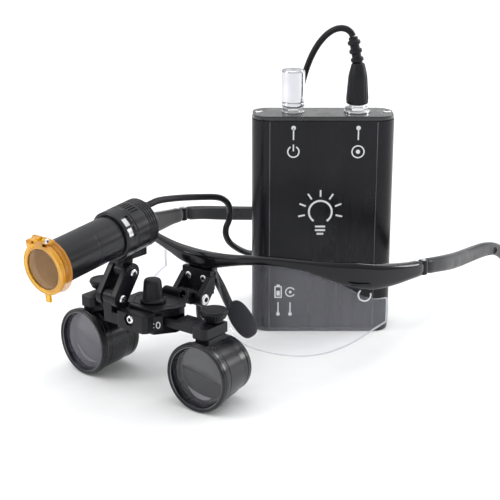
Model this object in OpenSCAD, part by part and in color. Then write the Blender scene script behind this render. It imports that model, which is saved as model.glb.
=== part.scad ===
// Dental loupes: flip-up telescopes and an LED headlight on a wrap-round spectacle frame,
// with the wired battery pack that stands between the temples.
// +X is the wearer's left, -Y is the way the wearer looks, +Z is up. All sizes in mm.

/* [Telescopes] */
// Distance between the two telescopes' swivel posts
pd = 64; // [60:0.5:66]
// Outside radius of a telescope's front ring
barrel_r = 15; // [14.5:0.1:15.5]
// Length of a telescope
barrel_len = 24; // [22:0.5:26]
// How far the left telescope is turned outward, in degrees
yaw_left = 3; // [0:1:8]
// How far the right telescope is turned outward, in degrees
yaw_right = 6; // [0:1:8]

/* [Headlight] */
// Sideways place of the headlight, towards the wearer's right
light_x = -13.4; // [-14:0.1:-13]
// Radius of the headlight's smooth tube
tube_r = 9.2; // [9:0.1:9.5]
// Radius of the headlight's rear housing
housing_r = 10.8; // [10.5:0.1:11.2]
// Length of the headlight from its rear face to the tube's front
light_len = 54.5; // [53:0.5:56]
// How far the headlight points down, in degrees
light_pitch = 6.7; // [4:0.1:8]

/* [Spectacle frame] */
// Half the frame's width at its hinges
hinge_x = 72; // [71:0.5:73]
// Thickness of the lenses
lens_t = 2; // [1.6:0.1:2.4]

/* [Battery pack] */
// Width of the pack
pack_w = 66.5; // [66:0.5:68]
// Depth of the pack
pack_d = 23; // [22:0.5:24]
// Height of the pack
pack_h = 105.5; // [103:0.5:107]
// How far the pack is turned from facing forward, in degrees
pack_yaw = 38; // [36:1:40]

/* [Cord] */
// Diameter of the cord
cord_d = 3; // [2.6:0.1:3.2]

/* [Hidden] */
$fn = 48;

// The whole part's origin lies on the floor under the middle of its length
origin_y = 99;

// Telescopes: swivel posts, clamp blocks and their heights
post_y = 13.5;
barrel_z = barrel_r;
foot_top = 30.9;
block_bottom = 31.2;
block_top = 35.8;
post_r = 2.5;
block_w = 8;
post_top = 35.5;
knob_bottom = 36.1;
running = 0.06;

// Adjuster hub: pinion on the middle line, one rack in front of it and one behind
pinion_y = 11.2;
pinion_r = 3;
pinion_teeth = 10;
tooth_pitch = 2 * PI * pinion_r / pinion_teeth;
tooth_w = 0.55;
rack_bottom = 31.2;
rack_h = 3;
rack_t = 2.2;
hub_bottom = 27;
hub_top = 37.2;
cover_top = 38.4;

// Flip-up pivot under the bridge
flip_y = 35.4;
flip_z = 34.2;
flip_r = 1.5;

// Headlight links: a lower and an upper pivot
link_low = [0.1, 40.8];
link_up = [7.3, 50.6];
link_gap = 5.6;
link_t = 3;
pin_r = 1.2;
light_rear = [19.6, 69.7];

// Flip filter: where its sleeve starts and ends along the headlight, its flap and its hinge
sleeve_from = light_len - 1.5;
sleeve_to = light_len + 1.4;
flap_from = sleeve_to + 0.4;
flap_t = 2.2;
filter_hinge = [12.6, sleeve_to + 1.5];

// Temple hinges
hinge_y = 114;
hinge_z = 41.8;

// Pack: middle of its front face on the floor, and what stands on its top
pack_x = 20.3;
pack_y = 108;
plate_t = 2;
pack_corner = 8;
knob_u = -14;
jack_u = 16;
row_v = pack_d / 2;

// Half of the frame front: across, back, up, half thickness, half height
brow = [[0, 41.6, 50.2, 3.2, 3.6], [8, 41.8, 50.6, 3, 3.4], [16, 42.8, 51.8, 2.3, 2.6],
    [26, 44.4, 53.5, 1.8, 2.1], [38, 48.4, 54.2, 1.7, 2.1], [49, 54.6, 53, 1.8, 2.6],
    [57, 62.2, 50.2, 1.9, 4.2], [62.6, 71, 47.4, 2, 5.6], [66.4, 81, 44.8, 2.2, 5.8],
    [69.2, 92, 43.4, 2.4, 5], [71.2, 103, 42.6, 2.4, 4], [hinge_x, 112.4, 41.9, 2.3, 3.6]];
// One temple, from its hinge to the end of its ear hook
temple = [[hinge_x, 115.6, 41.6, 2.3, 3.5], [71.6, 128, 39.4, 2.2, 3.6],
    [69.6, 142, 36.4, 2.1, 3.8], [66.6, 157, 33.4, 2, 3.8], [63.2, 172, 30.6, 2, 3.8],
    [60.8, 187, 28.4, 2, 3.7], [59, 201, 26.2, 2, 3.6], [57.6, 213.4, 23, 2.1, 3.4],
    [56.6, 225, 17.4, 2.1, 3.3], [55.8, 235.4, 10, 2.1, 3.2], [55.2, 243, 3, 2, 3]];
// One lens: across, back, bottom edge, top edge
lens_edge = [[9, 42.9, 44, 48.8], [11, 43, 36, 49], [13.5, 43.2, 28, 49.4], [16, 43.5, 21, 49.8],
    [20, 43.9, 15.6, 50.4], [27, 45, 12.8, 51.6], [38, 48.8, 11.4, 52], [48, 54.2, 11.2, 50.4],
    [55.4, 61, 12.2, 46.4], [60.2, 69.6, 14, 41.6], [62.8, 77.6, 16, 36], [65, 86, 18.5, 32.6],
    [66.4, 93.4, 20, 31.5]];

// Route of the cord from the headlight to the floor behind the pack
head_route = [[-13.4, 22.9, 75.7], [-13.4, 26.4, 76.2], [-13.6, 32, 76.4], [-14.5, 44.9, 74.5],
    [-15.5, 59.2, 71.7], [-17, 73.8, 68.4], [-18, 80.9, 65.7], [-19, 85.9, 62.1], [-20, 88.6, 57.3],
    [-20.5, 88.4, 53.3], [-21, 86.8, 49.8], [-21.6, 87.4, 45.8], [-22.6, 91.6, 40.8],
    [-24, 99.7, 35.4], [-25.6, 108.4, 31], [-27.4, 117.4, 27.4], [-29.4, 125.4, 23],
    [-31, 131.4, 17], [-31.9, 135, 10.4], [-32, 137.4, 4.8], [-31.4, 140, 2], [-30, 142.6, 1.6]];
// Route of the cord from the plug to the coil, in the pack's own frame
riser_route = [[13.2, 11.5, 140.8], [12.4, 11.7, 142.4], [10.4, 12.2, 143.9], [7.6, 13.1, 144.3],
    [4.4, 14.6, 143.2], [1, 16.6, 140.4], [-2.6, 19.4, 135.4], [-5.8, 22.6, 128.4],
    [-8.4, 25.6, 119.6], [-10.6, 27.4, 108.4], [-12.4, 28.2, 94], [-13.6, 28.4, 78],
    [-14.2, 28.4, 60], [-14.2, 28.4, 42], [-13.6, 28, 28], [-12, 27.6, 19], [-9.6, 27.4, 13.4],
    [-7.2, 27.4, 10.6]];
// The coil behind the pack, in the pack's own frame
coil_u = -7.2;
coil_v = 45;
coil_mid_r = 16.5;
coil_h = 4 * cord_d;

black = [0.07, 0.07, 0.08];
satin = [0.14, 0.14, 0.16];
steel = [0.75, 0.76, 0.78];
clear = [0.8, 0.84, 0.95, 0.4];
amber = [1, 0.6, 0.1];

module in_place() translate([0, -origin_y, 0]) children();
module pack_place() in_place() translate([pack_x, pack_y, 0]) rotate(pack_yaw) children();

// Lays children, drawn along +Z, so that +Z becomes forward along the headlight's axis
module light_place() in_place() translate([light_x, light_rear[0], light_rear[1]])
    rotate([90 + light_pitch, 0, 0]) children();

// Lays children, drawn along +Z, along +X through the given point
module across(x, y, z) translate([x, y, z]) rotate([0, 90, 0]) children();

function unit(v) = v / norm(v);
function at(p, i) = p[max(0, min(len(p) - 1, i))];

// A point at the share t of the way from point i to the next one, on a smooth curve
function between(p, i, t) =
    let (a = at(p, i - 1), b = p[i], c = at(p, i + 1), d = at(p, i + 2))
    b + 0.5 * t * ((c - a) + t * ((2 * a - 5 * b + 4 * c - d) + t * (3 * (b - c) + d - a)));
function smooth(p, n) = concat(
    [for (i = [0:len(p) - 2]) for (k = [0:n - 1]) between(p, i, k / n)], [p[len(p) - 1]]);

// Faces of a solid that has n rings of m points, closed at both ends
function skin(n, m) = concat(
    [[for (j = [0:m - 1]) j]],
    [for (i = [0:n - 2]) for (j = [0:m - 1]) [i * m + j, (i + 1) * m + j, i * m + (j + 1) % m]],
    [for (i = [0:n - 2]) for (j = [0:m - 1])
        [i * m + (j + 1) % m, (i + 1) * m + j, (i + 1) * m + (j + 1) % m]],
    [[for (j = [m - 1:-1:0]) (n - 1) * m + j]]);

// A round cord along the points p, with its rings set out from the direction ref
module cord_tube(p, ref, sides = 8) {
    points = [for (i = [0:len(p) - 1])
        let (way = unit(at(p, i + 1) - at(p, i - 1)), u = unit(cross(ref, way)), v = cross(way, u))
        for (j = [0:sides - 1]) p[i] + cord_d / 2 * (cos(360 * j / sides) * u + sin(360 * j / sides) * v)];
    polyhedron(points, skin(len(p), sides));
}

// A band along stations of place, half thickness and half height, upright throughout
module band(stations, bevel) {
    s = stations;
    points = [for (i = [0:len(s) - 1])
        let (a = at(s, i - 1), b = at(s, i + 1), way = unit([b[0] - a[0], b[1] - a[1]]),
            side = [way[1], -way[0], 0], t = s[i][3], h = s[i][4], c = bevel * min(t, h),
            outline = bevel == 0 ? [[t, -h], [t, h], [-t, h], [-t, -h]] :
                [[t, c - h], [t, h - c], [t - c, h], [c - t, h], [-t, h - c], [-t, c - h], [c - t, -h], [t - c, -h]])
        for (q = outline) [s[i][0], s[i][1], s[i][2]] + q[0] * side + [0, 0, q[1]]];
    polyhedron(points, skin(len(s), bevel == 0 ? 4 : 8));
}

function mirrored(s) = [for (i = [len(s) - 1:-1:1]) [-s[i][0], s[i][1], s[i][2], s[i][3], s[i][4]]];
function lens_stations(p) = [for (q = p) [q[0], q[1], (q[2] + q[3]) / 2, lens_t / 2, (q[3] - q[2]) / 2]];

// ---- Spectacle frame ----
module frame_front() color(black) in_place()
    band(smooth(concat(mirrored(brow), brow), 3), 0.55);

module lens_sheet() band(smooth(lens_stations(lens_edge), 3), 0);
module lens_left() color(clear) in_place() lens_sheet();
module lens_right() color(clear) in_place() mirror([1, 0, 0]) lens_sheet();

module nose_pads() color([0.2, 0.2, 0.22]) in_place()
    for (side = [-1, 1]) translate([side * 12.6, 56.5, 19.6]) rotate([30, 0, side * -37])
        scale([1.7, 5.2, 10.2]) sphere(r = 1, $fn = 32);

module nose_bridge() color(black) in_place() {
    translate([-7, 42.6, 40.5]) cube([14, 4, 7]);
    for (side = [-1, 1]) hull() {
        translate([side * 6, 45, 42]) sphere(r = 1.8, $fn = 16);
        translate([side * 8.6, 53.6, 25.4]) sphere(r = 1.6, $fn = 16);
    }
    for (side = [-1, 1]) hull() {
        translate([side * 8.6, 53.6, 25.4]) sphere(r = 1.6, $fn = 16);
        translate([side * 12, 56.2, 21.8]) sphere(r = 1.4, $fn = 16);
    }
}

module bridge_bracket() color(satin) in_place() difference() {
    union() {
        translate([-8.2, 39.6, 34.8]) cube([16.4, 3, 11.2]);
        for (side = [-1, 1]) translate([side * 7.3 - 1.3, 0, 0]) {
            hull() {
                across(0, flip_y, flip_z) cylinder(r = 3.4, h = 2.6);
                translate([0, 39.6, 37.4]) cube([2.6, 3, 6]);
            }
        }
    }
    across(-10, flip_y, flip_z) cylinder(r = flip_r, h = 20);
    for (x = [-4.3, 4.3]) translate([x, 38, 42]) rotate([-90, 0, 0]) cylinder(r = 0.9, h = 6);
}

module bridge_screws() color(steel) in_place()
    for (x = [-4.3, 4.3]) translate([x, 0, 42]) rotate([-90, 0, 0]) {
        translate([0, 0, 38.8]) cylinder(r = 1.7, h = 0.8);
        translate([0, 0, 38.8]) cylinder(r = 0.9, h = 3.8);
    }

module frame_hinges() color(satin) in_place()
    for (side = [-1, 1]) translate([side * hinge_x, hinge_y, hinge_z]) difference() {
        union() for (z = [-3, 1.2]) {
            translate([0, 0, z]) cylinder(r = 1.5, h = 1.8);
            translate([-1.2, -4.6, z]) cube([2.4, 4.6, 1.8]);
        }
        translate([0, 0, -4]) cylinder(r = 0.7, h = 8);
    }

module hinge_pins() color(steel) in_place()
    for (side = [-1, 1]) translate([side * hinge_x, hinge_y, hinge_z]) {
        translate([0, 0, -3]) cylinder(r = 0.7, h = 6.4);
        translate([0, 0, 3]) cylinder(r = 1.3, h = 0.6);
    }

module temple_side() band(smooth(temple, 3), 0.55);
module temple_left() color(black) in_place() temple_side();
module temple_right() color(black) in_place() mirror([1, 0, 0]) temple_side();

module temple_hinge(side) color(satin) in_place()
    translate([side * hinge_x, hinge_y, hinge_z]) difference() {
        union() {
            translate([0, 0, -1]) cylinder(r = 1.45, h = 2);
            translate([-1.1, 0, -1]) cube([2.2, 5.4, 2]);
        }
        translate([0, 0, -2]) cylinder(r = 0.7 + running, h = 4);
    }
module temple_hinge_left() temple_hinge(1);
module temple_hinge_right() temple_hinge(-1);

// ---- Flip-up hinge and adjuster hub ----
module flip_pin() color(steel) in_place() {
    across(-8.6, flip_y, flip_z) cylinder(r = flip_r, h = 17.2);
    across(8.6, flip_y, flip_z) cylinder(r = 2.5, h = 0.9);
    across(-9.5, flip_y, flip_z) cylinder(r = 2.5, h = 0.9);
}

module flip_arm() color(satin) in_place() difference() {
    union() {
        across(-5.6, flip_y, flip_z) cylinder(r = 3.4, h = 11.2);
        hull() {
            across(-5, 31, 35) cylinder(r = 2.6, h = 10);
            across(-5, 24.6, 38.4) cylinder(r = 2.6, h = 10);
        }
        hull() {
            across(-5, 24.6, 38.4) cylinder(r = 2.6, h = 10);
            across(-5, 22.6, 32) cylinder(r = 2, h = 10);
        }
        hull() {
            across(-5, flip_y, flip_z) cylinder(r = 2.6, h = 10);
            across(-5, 31, 35) cylinder(r = 2.6, h = 10);
        }
    }
    across(-10, flip_y, flip_z) cylinder(r = flip_r + running, h = 20);
}

function hub_outline(inset) = [[-7.6 + inset / 2, 2.4 + inset], [7.6 - inset / 2, 2.4 + inset],
    [13.6 - inset, 11.6], [13.6 - inset, 17], [9 - inset, 22.4 - inset],
    [inset - 9, 22.4 - inset], [inset - 13.6, 17], [inset - 13.6, 11.6]];

module hub_body() color(satin) in_place() difference() {
    union() {
        translate([0, 0, hub_bottom]) linear_extrude(hub_top - hub_bottom) polygon(hub_outline(0.8));
        translate([0, 0, 29.4]) linear_extrude(hub_top - 29.4)
            polygon([[-7.6, -3], [-6.6, -4], [7.6, -4], [9.4, -2], [8.4, 4], [-7.6, 4]]);
    }
    link_clearance();
    // Channel for both racks, open at both ends
    translate([-20, pinion_y - 5.7, rack_bottom - 0.4]) cube([40, 11.4, rack_h + 0.8]);
    // Bore for the pinion's spindle and recess for the screw
    translate([0, pinion_y, 30]) cylinder(r = 1.5 + running, h = 10);
    translate([0, pinion_y, 28.6]) cylinder(r = 1.5 + running, h = 3);
    translate([0, -3, 34.3]) rotate([90, 0, 0]) cylinder(r = 2.9, h = 3, $fn = 6);
    translate([0, 1, 34.3]) rotate([90, 0, 0]) cylinder(r = 1, h = 6);
}

// Room for the headlight's links to swing
module link_clearance() across(light_x - 6.6, link_low[0], link_low[1]) cylinder(r = 4.7, h = 14);

module hub_cover() color(satin) in_place() difference() {
    translate([0, 0, hub_top]) linear_extrude(cover_top - hub_top) polygon(hub_outline(0));
    translate([0, pinion_y, hub_top - 1]) cylinder(r = 1.5 + running, h = 4);
    link_clearance();
}

module hub_screw() color(steel) in_place() translate([0, 0, 34.3]) rotate([90, 0, 0]) {
    translate([0, 0, 3]) cylinder(r = 1.8, h = 0.9);
    translate([0, 0, -0.8]) cylinder(r = 1, h = 3.8);
}

module pd_knob() color(black) in_place() translate([0, pinion_y, cover_top + 0.3]) difference() {
    rotate_extrude() polygon([[0, 0], [5.4, 0], [5.6, 0.5], [5.4, 1.1], [4.6, 1.3], [4.4, 2],
        [3.8, 8.8], [3.3, 9.8], [0, 10]]);
    translate([0, 0, -1]) cylinder(r = 1.5, h = 5);
}

module pd_pinion() color(steel) in_place() translate([0, pinion_y, 0]) {
    translate([0, 0, 28.8]) cylinder(r = 1.5, h = cover_top + 4.3 - 28.8);
    translate([0, 0, rack_bottom]) linear_extrude(rack_h) {
        circle(r = 2.3);
        for (k = [0:pinion_teeth - 1]) rotate((k + 0.5) * 360 / pinion_teeth)
            translate([0, -tooth_w / 2]) square([3.3, tooth_w]);
    }
}

// A rack that reaches from the pinion to the clamp block on its side.
// The left rack runs in front of the pinion and the right one, turned half round, behind it.
module pd_slider(side) color(satin) in_place() translate([0, pinion_y, rack_bottom])
    rotate(side > 0 ? 0 : 180) difference() {
        union() {
            translate([-5, -2.7 - rack_t, 0]) cube([20, rack_t, rack_h]);
            translate([14.9, -5.2, 0]) cube([pd / 2 - block_w / 2 - 14.9, 10.4, rack_h]);
        }
        for (k = [-4:4]) translate([k * tooth_pitch, -3.25, rack_h / 2])
            cube([tooth_pitch - tooth_w, 1.2, rack_h + 2], center = true);
    }
module pd_slider_left() pd_slider(1);
module pd_slider_right() pd_slider(-1);

module clamp_block(side) color(satin) in_place() translate([side * pd / 2, 9.7, 0]) difference() {
    translate([0, 0, block_bottom]) linear_extrude(block_top - block_bottom)
        polygon([[-4, -5.6], [-2.4, -7.2], [2.4, -7.2], [4, -5.6], [4, 7.8], [-4, 7.8]]);
    translate([0, post_y - 9.7, 30]) cylinder(r = post_r + running, h = 10);
}
module clamp_block_left() clamp_block(1);
module clamp_block_right() clamp_block(-1);

module clamp_knob(side) color(black) in_place() translate([side * pd / 2, post_y, 0]) {
    translate([0, 0, knob_bottom]) rotate_extrude()
        polygon([[0, 0], [3.4, 0], [3.4, 1.2], [4.7, 1.6], [5.9, 4.2], [5.6, 5.2], [0, 5.4]]);
    translate([0, 0, 32.6]) cylinder(r = 1.2, h = 4);
}
module clamp_knob_left() clamp_knob(1);
module clamp_knob_right() clamp_knob(-1);

// ---- Telescopes ----
// Lays children, drawn along +Z from the front ring, along the telescope's axis
module barrel_place(side, yaw) in_place() translate([side * pd / 2, post_y, 0]) rotate(side * yaw)
    translate([0, -post_y, barrel_z]) rotate([-90, 0, 0]) children();

module barrel_shell(side, yaw) color(black) {
    barrel_place(side, yaw) rotate_extrude() polygon([[13.7, 0], [14.6, 0], [15, 0.5], [15, 3.2],
        [14.5, 3.6], [13.2, barrel_len - 8], [12.8, barrel_len - 7.6], [12.4, barrel_len - 1.2],
        [11.4, barrel_len], [8.6, barrel_len], [8.6, barrel_len - 5.4], [10.8, barrel_len - 5.8],
        [12.4, 5.2], [13.7, 5]]);
    in_place() translate([side * pd / 2, post_y, 0]) rotate(side * yaw) difference() {
        union() {
            translate([-3.6, -8.6, 28.2]) cube([7.2, 12, foot_top - 28.2]);
            translate([0, 0, 29]) cylinder(r = post_r, h = post_top - 29);
        }
        translate([0, 0, 32]) cylinder(r = 1.2 + running, h = 6);
        translate([0, -post_y - 1, barrel_z]) rotate([-90, 0, 0]) cylinder(r = 13.2, h = 30);
    }
}
module barrel_shell_left() barrel_shell(1, yaw_left);
module barrel_shell_right() barrel_shell(-1, yaw_right);

module objective(side, yaw) color(clear) barrel_place(side, yaw)
    rotate_extrude() polygon([[0, 0.7], [4, 0.8], [8, 1.2], [12, 1.9], [13.6, 2.3], [13.6, 4.9], [0, 4.9]]);
module objective_left() objective(1, yaw_left);
module objective_right() objective(-1, yaw_right);

module ocular(side, yaw) color(clear) barrel_place(side, yaw)
    translate([0, 0, barrel_len])
    rotate_extrude() polygon([[0, -4.4], [8.5, -5.4], [8.5, -1.6], [0, -2.6]]);
module ocular_left() ocular(1, yaw_left);
module ocular_right() ocular(-1, yaw_right);

module retaining_ring(side, yaw) color(satin) barrel_place(side, yaw)
    rotate_extrude() polygon([[12.9, 0.3], [13.6, 0.3], [13.6, 2.2], [12.9, 2.1]]);
module retaining_ring_left() retaining_ring(1, yaw_left);
module retaining_ring_right() retaining_ring(-1, yaw_right);

// ---- Headlight ----
module headlight_knuckle() color(satin) in_place() difference() {
    union() {
        across(light_x - 2.5, link_low[0], link_low[1]) cylinder(r = 3.6, h = 5);
        hull() {
            across(light_x - 2.5, link_low[0], link_low[1]) cylinder(r = 3.2, h = 5);
            translate([light_x - 2.5, -2.6, 31]) cube([5, 6, 2]);
        }
        translate([light_x - 2.5, -2.6, 30]) cube([8.6, 6, 5]);
    }
    across(light_x - 10, link_low[0], link_low[1]) cylinder(r = pin_r, h = 20);
}

module link_plate(x) hull() {
    across(x, link_low[0], link_low[1]) cylinder(r = 4.2, h = link_t);
    across(x, link_up[0], link_up[1]) cylinder(r = 4.2, h = link_t);
}
module headlight_links() color(satin) in_place() difference() {
    for (x = [light_x - link_gap / 2 - link_t, light_x + link_gap / 2]) link_plate(x);
    for (p = [link_low, link_up]) across(light_x - 10, p[0], p[1]) cylinder(r = pin_r + running, h = 20);
}

module link_screw(p) color(steel) in_place() {
    reach = link_gap / 2 + link_t;
    across(light_x - reach - 0.4, p[0], p[1]) cylinder(r = pin_r, h = 2 * reach + 0.8);
    for (x = [-reach - 1.3, reach + 0.3]) across(light_x + x, p[0], p[1]) cylinder(r = 1.9, h = 1);
}
module link_screw_lower() link_screw(link_low);
module link_screw_upper() link_screw(link_up);

module headlight_foot() color(satin) difference() {
    in_place() {
        across(light_x - 2.5, link_up[0], link_up[1]) cylinder(r = 3.6, h = 5);
        hull() {
            across(light_x - 2.5, link_up[0], link_up[1]) cylinder(r = 3, h = 5);
            translate([light_x - 2.5, 5.6, 56]) cube([5, 6, 1]);
        }
        translate([light_x - 2.5, 2, 55.2]) cube([5, 18, 4.8]);
    }
    in_place() across(light_x - 10, link_up[0], link_up[1]) cylinder(r = pin_r, h = 20);
    light_place() translate([0, 0, -4]) cylinder(r = housing_r, h = 40);
}

module headlight_tube() color(black) light_place() difference() {
    translate([0, 0, 6]) cylinder(r = tube_r, h = light_len - 6);
    translate([0, 0, 30]) cylinder(r = tube_r - 1.2, h = light_len);
    translate([0, 0, 12]) cylinder(r = tube_r - 2.4, h = light_len);
    translate([0, 0, 5]) cylinder(r = 3, h = 20);
}

module headlight_housing() color(black) light_place() difference() {
    rotate_extrude() polygon([[0, 0], [housing_r - 0.8, 0], [housing_r, 0.8],
        [housing_r, 2], [housing_r - 0.5, 2.2], [housing_r - 0.5, 2.7], [housing_r, 2.9],
        [housing_r, 4.4], [housing_r - 0.5, 4.6], [housing_r - 0.5, 5.1], [housing_r, 5.3],
        [housing_r, 6.8], [housing_r - 0.5, 7], [housing_r - 0.5, 7.5], [housing_r, 7.7],
        [housing_r, 19.4], [housing_r - 0.6, 20], [tube_r, 20], [tube_r, 6], [3, 6], [3, 3], [0, 3]]);
    translate([0, 6, -1]) cylinder(r = 1.6, h = 8);
}

module headlight_lens() color(clear) light_place()
    rotate_extrude() polygon([[0, 49], [tube_r - 1.2, 49], [tube_r - 1.2, 50.4], [5.6, 51.6], [0, 52.2]]);

module led_board() color([0.9, 0.9, 0.85]) light_place() {
    translate([0, 0, 28.4]) cylinder(r = tube_r - 2.4, h = 1.6);
    translate([-1.6, -1.6, 30]) cube([3.2, 3.2, 0.9]);
}

module cable_gland() color(black) difference() {
    in_place() translate([light_x, 16.8, 75.6]) rotate([-90, 0, 0]) cylinder(r1 = 3.4, r2 = 2.2, h = 5.8);
    light_place() cylinder(r = housing_r + 1, h = 20);
}

// ---- Flip filter ----
module filter_sleeve() color(amber) light_place() difference() {
    union() {
        translate([0, 0, sleeve_from]) cylinder(r = 11, h = sleeve_to - sleeve_from);
        translate([0, 0, sleeve_from]) cylinder(r = 11.7, h = 1.2);
        for (x = [-3.6, 2.2]) hull() {
            across(x, filter_hinge[0], filter_hinge[1]) cylinder(r = 1.5, h = 1.4);
            translate([x, 10.2, sleeve_to - 2.9]) cube([1.4, 1, 2]);
        }
    }
    translate([0, 0, sleeve_from - 1]) cylinder(r = tube_r, h = light_len - sleeve_from + 1);
    translate([0, 0, light_len - 1]) cylinder(r = tube_r - 0.8, h = 10);
    across(-6, filter_hinge[0], filter_hinge[1]) cylinder(r = 0.7, h = 12);
}

module filter_flap() color(amber) light_place() difference() {
    union() {
        translate([0, 0, flap_from]) cylinder(r = 11.2, h = flap_t);
        hull() {
            across(-1.9, filter_hinge[0], filter_hinge[1]) cylinder(r = 1.4, h = 3.8);
            translate([-1.9, 9.4, flap_from]) cube([3.8, 1, flap_t]);
        }
        // Thumb arm over the hinge and peg below the ring
        translate([-1.6, 13, sleeve_to + 1.4]) cube([3.2, 1.4, 6.2]);
        translate([-1.6, 11.4, sleeve_to + 6.2]) cube([3.2, 3, 1.4]);
        translate([-1.2, -14.6, flap_from + 0.4]) cube([2.4, 4.2, 1.4]);
    }
    translate([0, 0, flap_from - 1]) cylinder(r = 9.8, h = 5);
    for (x = [-4.1, 1.9]) translate([x, 10.2, flap_from - 1]) cube([2.2, 6, 4]);
    across(-6, filter_hinge[0], filter_hinge[1]) cylinder(r = 0.7 + running, h = 12);
}

module filter_glass() color([0.8, 0.45, 0.1, 0.8]) light_place()
    translate([0, 0, flap_from + 0.4]) cylinder(r = 9.8, h = 1.4);

module filter_screw() color(steel) light_place() {
    across(-3.8, filter_hinge[0], filter_hinge[1]) cylinder(r = 0.7, h = 7.6);
    across(3.7, filter_hinge[0], filter_hinge[1]) cylinder(r = 1.2, h = 0.7);
}

// ---- Battery pack, in its own frame: across, back and up from its front face's foot ----
module rounded_plan(inset) {
    c = pack_corner;
    translate([inset - pack_w / 2, c]) square([pack_w - 2 * inset, pack_d - 2 * c]);
    translate([c - pack_w / 2, inset]) square([pack_w - 2 * c, pack_d - 2 * inset]);
    for (x = [c - pack_w / 2, pack_w / 2 - c]) for (y = [c, pack_d - c])
        translate([x, y]) circle(r = c - inset);
}

module pack_shell() color(black) pack_place() translate([0, 0, plate_t]) linear_extrude(pack_h - 2 * plate_t)
    difference() {
        rounded_plan(0);
        rounded_plan(1.8);
    }

module pack_end_plates() color([0.35, 0.36, 0.38]) pack_place() difference() {
    for (z = [0, pack_h - plate_t]) translate([0, 0, z]) linear_extrude(plate_t) rounded_plan(0.3);
    for (u = [knob_u, jack_u]) translate([u, row_v, pack_h - 5]) cylinder(r = 3.5, h = 10);
    translate([-8, row_v, -1]) cylinder(r = 4, h = 5);
    translate([4, row_v, -1]) cylinder(r = 1.5, h = 5);
    for (u = [-30, 30]) for (z = [-1, pack_h - 4]) translate([u, row_v, z]) cylinder(r = 1, h = 5);
}

module pack_screws() color(steel) pack_place() for (u = [-30, 30]) translate([u, row_v, 0]) {
    translate([0, 0, pack_h - 5]) cylinder(r = 1, h = 5);
    translate([0, 0, pack_h]) cylinder(r = 1.9, h = 0.7);
    translate([0, 0, 0.4]) cylinder(r = 1, h = 5);
}

module battery_cells() color([0.3, 0.45, 0.7]) pack_place()
    for (u = [-19.5, 0, 19.5]) translate([u, row_v, 18]) cylinder(r = 9.2, h = 65);

module circuit_board() color([0.1, 0.4, 0.2]) pack_place() translate([-29, row_v + 4.5, 5]) cube([58, 1.6, 11]);

module power_switch() color(steel) pack_place() translate([knob_u, row_v, 0]) {
    translate([0, 0, pack_h - 14]) cylinder(r = 7.5, h = 12);
    translate([0, 0, pack_h - 2]) cylinder(r = 3.5, h = 2.6);
    translate([0, 0, pack_h]) cylinder(r = 5.4, h = 0.7);
    translate([0, 0, pack_h + 0.7]) cylinder(r = 5, h = 1.8, $fn = 6);
    translate([0, 0, pack_h + 0.7]) cylinder(r = 2.5, h = 9);
}

module power_knob() color([0.8, 0.81, 0.83]) pack_place() translate([knob_u, row_v, pack_h + 2.9]) difference() {
    rotate_extrude() polygon([[0, 0], [5.2, 0], [5.5, 0.4], [5.5, 16.4], [5, 17.2], [0, 17.4]]);
    translate([0, 0, -1]) cylinder(r = 2.5 + running, h = 8.4);
}

module pack_jacks() color(steel) pack_place() {
    translate([jack_u, row_v, 0]) difference() {
        union() {
            translate([0, 0, pack_h - 14]) cylinder(r = 3.5, h = 14);
            translate([0, 0, pack_h]) cylinder(r = 6.2, h = 0.9);
            translate([0, 0, pack_h + 0.9]) cylinder(r = 5.6, h = 2, $fn = 6);
            translate([0, 0, pack_h + 2.9]) cylinder(r = 4, h = 0.9);
        }
        translate([0, 0, pack_h - 12]) cylinder(r = 2.6, h = 20);
    }
    translate([-8, row_v, 0]) difference() {
        translate([0, 0, 0.4]) cylinder(r = 4, h = 11);
        translate([0, 0, -1]) cylinder(r = 2.9, h = 10);
    }
}

module plug() color(black) pack_place() {
    translate([jack_u, row_v, 0]) {
        translate([0, 0, pack_h - 9]) cylinder(r = 2.5, h = 14);
        translate([0, 0, pack_h + 4]) cylinder(r1 = 5.2, r2 = 4.3, h = 14);
        translate([0, 0, pack_h + 18]) cylinder(r1 = 4.3, r2 = 3, h = 5);
    }
    translate([jack_u, row_v, pack_h + 22.4]) rotate([0, -12, 0]) {
        cylinder(r = 2.2, h = 12.9);
        for (k = [0:2]) translate([0, 0, 1.4 + 4 * k]) cylinder(r = 3, h = 1.9);
    }
}

// ---- Cord ----
module cord_head() color(black) in_place() cord_tube(smooth(head_route, 2), [1, 0, 0]);
module cord_riser() color(black) pack_place() cord_tube(smooth(riser_route, 2), [0, 1, 0]);
module cord_coil() color(black) pack_place() translate([coil_u, coil_v, 0])
    rotate_extrude() translate([coil_mid_r - cord_d, 0]) square([2 * cord_d, coil_h]);

frame_front();
lens_left();
lens_right();
nose_pads();
nose_bridge();
bridge_bracket();
bridge_screws();
frame_hinges();
hinge_pins();
temple_left();
temple_right();
temple_hinge_left();
temple_hinge_right();
flip_pin();
flip_arm();
hub_body();
hub_cover();
hub_screw();
pd_knob();
pd_pinion();
pd_slider_left();
pd_slider_right();
clamp_block_left();
clamp_block_right();
clamp_knob_left();
clamp_knob_right();
barrel_shell_left();
barrel_shell_right();
objective_left();
objective_right();
ocular_left();
ocular_right();
retaining_ring_left();
retaining_ring_right();
headlight_knuckle();
headlight_links();
link_screw_lower();
link_screw_upper();
headlight_foot();
headlight_tube();
headlight_housing();
headlight_lens();
led_board();
cable_gland();
filter_sleeve();
filter_flap();
filter_glass();
filter_screw();
pack_shell();
pack_end_plates();
pack_screws();
battery_cells();
circuit_board();
power_switch();
power_knob();
pack_jacks();
plug();
cord_head();
cord_coil();
cord_riser();
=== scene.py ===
"""Looks of the dental loupes: shells, glass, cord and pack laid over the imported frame."""
import math

import bmesh
import bpy
from mathutils import Matrix, Vector, geometry


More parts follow.
